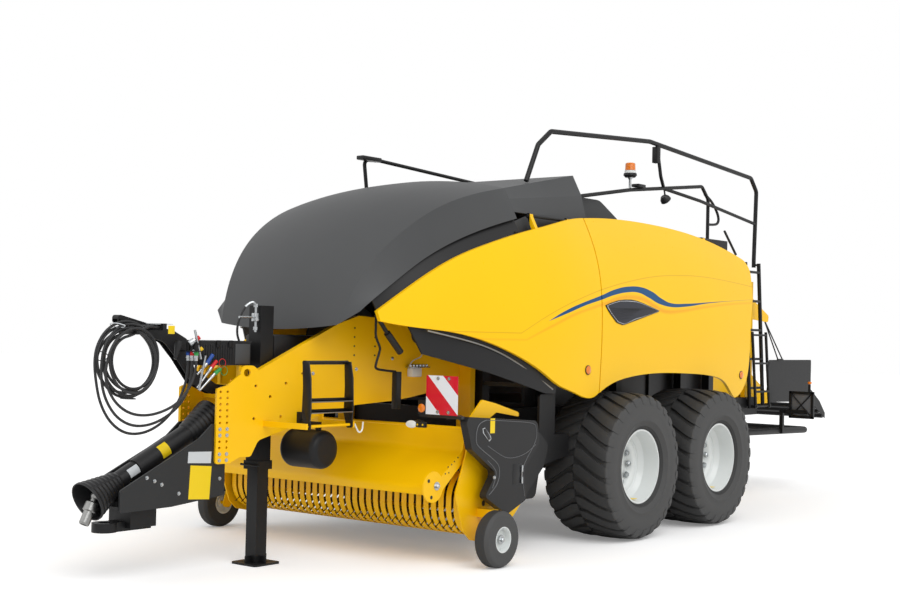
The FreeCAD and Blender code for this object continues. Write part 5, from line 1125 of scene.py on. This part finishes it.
# %% Beacon and rail fittings
low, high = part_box("beacon")
stand = Matrix.Translation(((low.x + high.x) / 2, (low.y + high.y) / 2, 0))
DISH, BAND, DOME = 3.092, 3.122, 3.146
LENS_RIBS, LENS_STEP = 6, 0.011
dome = [(0, DOME)]
for k in range(LENS_RIBS):
    z = DOME + 0.004 + LENS_STEP * k
    dome += [(0.049 - 0.0006 * k, z), (0.0465 - 0.0006 * k, z + LENS_STEP / 2)]
dome += [(0.036, high.z - 0.002), (0, high.z)]
STACK = (
    ([(0, low.z), (0.012, low.z), (0.012, DISH - 0.03), (0.03, DISH), (0, DISH)], zinc_plate),
    ([(0, DISH - 0.008), (0.045, DISH - 0.008), (0.062, DISH + 0.012), (0.058, BAND), (0, BAND)],
     moulded_black),
    ([(0, BAND), (0.052, BAND), (0.052, DOME), (0, DOME)], lamp_white), (dome, lens_amber))
parts = [turned("beacon_part", section, paint, 28, stand) for section, paint in STACK]
beacon = together(parts, "beacon_lamp", "chassis")
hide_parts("beacon")

RAIL_X, LOW_RAIL_X = 0.7, 0.66
HANDLE = ((1.8, 3.06), (1.9, 3.03), (2.02, 2.95), (2.1, 2.86), (2.09, 2.8), (2.02, 2.775),
          (1.88, 2.77))
WORK_LAMP = [(0, -0.035), (0.028, -0.035), (0.046, -0.01), (0.052, 0.018), (0.048, 0.024),
             (0, 0.026)]
WORK_GLASS = [(0, 0.0255), (0.044, 0.0255), (0.04, 0.029), (0, 0.03)]
seat = aimed(spot(LOW_RAIL_X, 1.02, 2.945), (0.2, 0.6, -0.7))
parts = [slab((RAIL_X - 0.03, 0.745, 3.255), (RAIL_X + 0.026, 0.81, 3.405), frame_black, 0.006),
         slab((LOW_RAIL_X - 0.03, 0.455, 3.005), (LOW_RAIL_X + 0.05, 0.585, 3.035),
              moulded_black, 0.008),
         tube("lamp_stalk", run(LOW_RAIL_X, (1, 3.03), (1.01, 3), (1.02, 2.96)), 0.008,
              frame_black),
         tube("loop_handle", run(0.655, *HANDLE), 0.013, frame_black),
         tube("grab_bar", run(0.8, (1.95, 2.705), (2.07, 2.6), (2.2, 2.487)), 0.012, frame_black),
         turned("work_lamp", WORK_LAMP, moulded_black, 24, seat),
         turned("work_glass", WORK_GLASS, lamp_white, 24, seat)]
together(parts, "rail_fittings", "chassis")
together([slab((-0.7, -1.8, 3.085), (-0.62, -1.56, 3.12), moulded_black, 0.008)],
         "far_rail_pod", "chassis")
print("beacon top", round(high.z, 3))

# %% [markdown]
# The toolbox is ribbed, and a grey lid closes its rear end. A hand valve with a long handle,
# a plated tube and a short hose sit on the jack, and a pin lies across its front.

# %% Toolbox ribs and jack fittings
BOX_SIDE = 0.165
BOX_RIBS = 13
parts = [slab((BOX_SIDE - 0.001, y, 1.4), (BOX_SIDE + 0.004, y + 0.01, 1.525), moulded_black, 0.0015)
         for y in (-4.215 + 0.022 * k for k in range(BOX_RIBS))]
parts.append(slab((BOX_SIDE - 0.001, -3.925, 1.392), (BOX_SIDE + 0.005, -3.79, 1.532), hood_grey))
parts += [slab((BOX_SIDE, y, 1.505), (BOX_SIDE + 0.012, y + 0.035, 1.555), frame_black)
          for y in (-4.1, -3.99)]
together(parts, "toolbox_ribs", "chassis")

VALVE_X, VALVE_Y = 0.165, -3.738
ELBOW = ((0.165, -3.738, 1.8), (0.16, -3.75, 1.825), (0.145, -3.78, 1.818), (0.13, -3.805, 1.79))
SHORT_HOSE = ((0.13, -3.805, 1.79), (0.115, -3.83, 1.74), (0.1, -3.85, 1.66), (0.09, -3.84, 1.585),
              (0.09, -3.82, 1.553))
JACK_PIN = ((0.045, -3.732, 0.69), (0.14, -3.734, 0.69), (0.235, -3.732, 0.69))
VALVE_NUT = [(0, -0.012), (0.017, -0.012), (0.017, 0.012), (0, 0.012)]
down = [spot(VALVE_X, VALVE_Y, z) for z in (1.805, 1.74, 1.68, 1.615)]
parts = [tube("valve_tube", down, 0.009, zinc_plate),
         tube("valve_handle", run(VALVE_X, (-3.895, 1.716), (-3.82, 1.718), (-3.732, 1.718)),
              0.008, zinc_plate),
         tube("valve_elbow", spots(*ELBOW), 0.009, zinc_plate),
         tube("valve_hose", spots(*SHORT_HOSE), 0.008, hose_rubber),
         slab((0.142, -3.76, 1.688), (0.188, -3.719, 1.748), zinc_plate, 0.006)]
parts += [turned("valve_nut", VALVE_NUT, zinc_plate, 6,
                 Matrix.Translation(spot(VALVE_X, VALVE_Y, z))) for z in (1.8, 1.64)]
parts.append(tube("jack_pin", spots(*JACK_PIN), 0.008, frame_black))
together(parts, "jack_fittings", "chassis")
print("toolbox ribs", BOX_RIBS)

# %% [markdown]
# The folding step has broad side plates with bright worn edges and two flat treads. A lamp,
# its plate and a spool of cable sit on the drawbar. A gas strut, a bent bracket and a latch
# hook hang under the hood's flank.

# %% Step plates
STEP_SIDE = ((0.604, 1.422), (0.668, 1.422), (0.692, 1.31), (0.7, 1.1), (0.69, 1.02),
             (0.664, 1.02), (0.626, 1.1), (0.618, 1.3))
STEP_ALONG = (-3.71, -3.5, -3.298)
worn_edge = finish("worn black enamel", "#3a3b3d", "#2c2d2e", 0.3, 6, 0.08)
parts = []
for y in (-3.716, -3.298):
    outline = [spot(x, y, z) for x, z in STEP_SIDE]
    parts.append(plate("step_side", outline, (0, 0.005, 0), frame_black, 0.001))
    parts.append(tube("step_edge", outline[1:5], 0.0035, worn_edge))
for z in (1.072, 1.147):
    parts.append(slab((0.612, -3.71, z), (0.694, -3.298, z + 0.004), frame_black, 0.001))
    edge = [spot(0.694, y, z + 0.004) for y in STEP_ALONG]
    parts.append(tube("tread_edge", edge, 0.0045, bare_steel))
parts.append(tube("top_edge", [spot(0.634, y, 1.424) for y in STEP_ALONG], 0.006, worn_edge))
together(parts, "step_plates", "step")

LAMP_Y, SPOOL_Y = -2.43, -2.38
LAMP_NUTS, LAMP_NUT_STEP = 6, 0.038
lamp_x, spool_x = drawbar_x(LAMP_Y), drawbar_x(SPOOL_Y)
parts = [on_drawbar(bolt, y, z) for y, z in ((-3.33, 1.33), (-2.95, 1.36), (-2.62, 1.44))]
parts += [slab((lamp_x - 0.004, LAMP_Y - 0.055, 1.303), (lamp_x + 0.055, LAMP_Y + 0.055, 1.372),
               lamp_white, 0.01),
          slab((lamp_x - 0.01, LAMP_Y - 0.07, 1.372), (lamp_x + 0.05, LAMP_Y + 0.16, 1.38),
               zinc_plate, 0.002)]
for k in range(LAMP_NUTS):
    seat = Matrix.Translation(spot(lamp_x + 0.022, LAMP_Y - 0.05 + LAMP_NUT_STEP * k, 1.38))
    parts.append(copy_at(nut, seat @ Matrix.Scale(0.7, 4)))
SPOOL = [(0, 0), (0.062, 0), (0.066, 0.006), (0.06, 0.012), (0.04, 0.014), (0.04, 0.03),
         (0.06, 0.032), (0.066, 0.038), (0.06, 0.044), (0.018, 0.046), (0, 0.046)]
SPOOL_LINE = ((spool_x + 0.03, -2.36, 1.56), (spool_x + 0.03, -2.35, 1.5),
              (spool_x + 0.03, -2.37, 1.45), (spool_x + 0.02, -2.48, 1.425),
              (lamp_x + 0.03, -2.5, 1.375))
parts += [turned("spool", SPOOL, moulded_black, 28,
                 aimed(spot(spool_x - 0.004, SPOOL_Y, 1.618), PLATE_OUT)),
          tube("spool_line", spots(*SPOOL_LINE), 0.004, label_pale)]
together(parts, "drawbar_lamp", "chassis")

STRUT_X = 0.735
BRACKET = ((-3.1, 1.77), (-3.1, 1.66), (-3.1, 1.6), (-3.05, 1.53), (-3.05, 1.5), (-3.095, 1.4),
           (-3.09, 1.372), (-2.98, 1.36), (-2.875, 1.352))
HOOK = ((-3.25, 0.99), (-3.22, 0.935), (-3.19, 0.925), (-3.165, 0.95), (-3.165, 1))
parts = [tube("strut_body", run(STRUT_X, (-3, 1.628), (-2.93, 1.565), (-2.85, 1.492)), 0.026,
              moulded_black),
         tube("strut_rod", run(STRUT_X, (-3.125, 1.76), (-3.06, 1.69), (-3, 1.628)), 0.016,
              frame_black),
         tube("bent_bracket", run(STRUT_X - 0.02, *BRACKET), 0.009, frame_black),
         slab((STRUT_X - 0.045, -2.885, 1.085), (STRUT_X + 0.005, -2.835, 1.352), frame_black,
              0.004)]
together([tube("latch_hook", run(0.672, *HOOK), 0.006, lamp_white)], "step_hook", "chassis")
together(parts, "flank_strut", "chassis")
print("step plates", 2)

# %% [markdown]
# Each lower trim carries a bright rail along its bend. The pickup's wind guard has an
# adjusting disc at each end, with a bolt and dark holes. Behind, each light board has a
# braced grey panel ahead, and two round lamps over a bare red plate at the back.

# %% Trim rails, guard discs and rear lamps
RAIL_LINE = ((0.962, -2.827, 1.65), (1.03, -2.54, 1.602), (1.108, -2.251, 1.534),
             (1.165, -1.92, 1.4), (1.208, -1.595, 1.224))
both_sides([tube("rail", spots(*RAIL_LINE), 0.007, bare_steel)], "trim_rail", "chassis")

DISC_X, DISC_Y, DISC_Z = 1.18, -2.988, 0.571
DISC_DOTS = ((-0.052, 0.045), (-0.02, -0.07))
HOLE_DOTS = ((-2.86, 0.655), (-2.82, 0.66), (-2.79, 0.715), (-2.83, 0.7), (-2.72, 0.76),
             (-2.76, 0.735))
dot = turned("dot", [(0, 0), (0.013, 0), (0.013, 0.0012), (0, 0.0012)], decal_black, 16)
small = Matrix.Scale(0.45, 4, OUT) @ Matrix.Scale(0.45, 4, BACK)
parts = [copy_at(dot, aimed(spot(DISC_X, DISC_Y + y, DISC_Z + z), OUT)) for y, z in DISC_DOTS]
parts += [copy_at(dot, aimed(spot(DISC_X, y, z), OUT) @ small) for y, z in HOLE_DOTS]
disc_bolt = spot(DISC_X, DISC_Y + 0.035, DISC_Z + 0.005)
parts += [turned("washer_disc", [(0, 0), (0.03, 0), (0.03, 0.004), (0, 0.004)], zinc_plate, 24,
                 aimed(disc_bolt, OUT)),
          copy_at(nut, aimed(disc_bolt + Vector((0.003, 0, 0)), OUT) @ Matrix.Scale(0.8, 4))]
both_sides(parts, "guard_disc", "guard")

PANEL_Y = 3.6
PANEL_IN, PANEL_OUT, PANEL_FOOT, PANEL_TOP = 0.75, 1.03, 0.81, 1.1
BORDER = 0.03
x0, x1 = PANEL_IN + BORDER, PANEL_OUT - BORDER
z0, z1 = PANEL_FOOT + BORDER, PANEL_TOP - BORDER
# The four edges of a panel: inner, outer, lower and upper.
BORDERS = ((PANEL_IN, PANEL_FOOT, x0, PANEL_TOP), (x1, PANEL_FOOT, PANEL_OUT, PANEL_TOP),
           (PANEL_IN, PANEL_FOOT, PANEL_OUT, z0), (PANEL_IN, z1, PANEL_OUT, PANEL_TOP))
LAMP_BACK = PANEL_Y + 0.0145
MARKER_LAMP = [(0, -0.012), (0.02, -0.012), (0.022, 0), (0.02, 0.012), (0, 0.012)]
TAIL_LAMP = [(0, 0), (0.046, 0), (0.05, 0.006), (0.046, 0.022), (0.03, 0.028), (0, 0.03)]
grey_panel = finish("grey board panel", "#6d6e70", "#5f6062", 0.4, 6, 0.05)
parts = [slab((x0, PANEL_Y - 0.003, z0), (x1, PANEL_Y - 0.0005, z1), grey_panel, 0.001)]
for start, end in ((z0, z1), (z1, z0)):
    brace = [(x0, start), ((x0 + x1) / 2, (start + end) / 2), (x1, end)]
    parts.append(tube("brace", [spot(x, PANEL_Y - 0.006, z) for x, z in brace], 0.008,
                      frame_black))
parts += [slab((left, PANEL_Y - 0.014, foot), (right, PANEL_Y - 0.0005, top), frame_black)
          for left, foot, right, top in BORDERS]
parts += [slab((0.968, PANEL_Y - 0.012, 1.1), (0.99, PANEL_Y + 0.01, 1.175), frame_black),
          turned("marker_lamp", MARKER_LAMP, lens_amber, 20,
                 aimed(spot(0.979, PANEL_Y, 1.195), (0, 0, 1)))]
parts += [turned("tail", TAIL_LAMP, paint, 28, aimed(spot(x, LAMP_BACK, 0.955), BACK))
          for x, paint in ((0.83, lens_red), (0.95, lens_amber))]
parts.append(slab((0.8, LAMP_BACK, 0.835), (0.98, PANEL_Y + 0.018, 0.875), lens_red, 0.002))
both_sides(parts, "tail_lamps", "chassis")
spare(dot, bolt, nut)
print("rear lamps", 4)
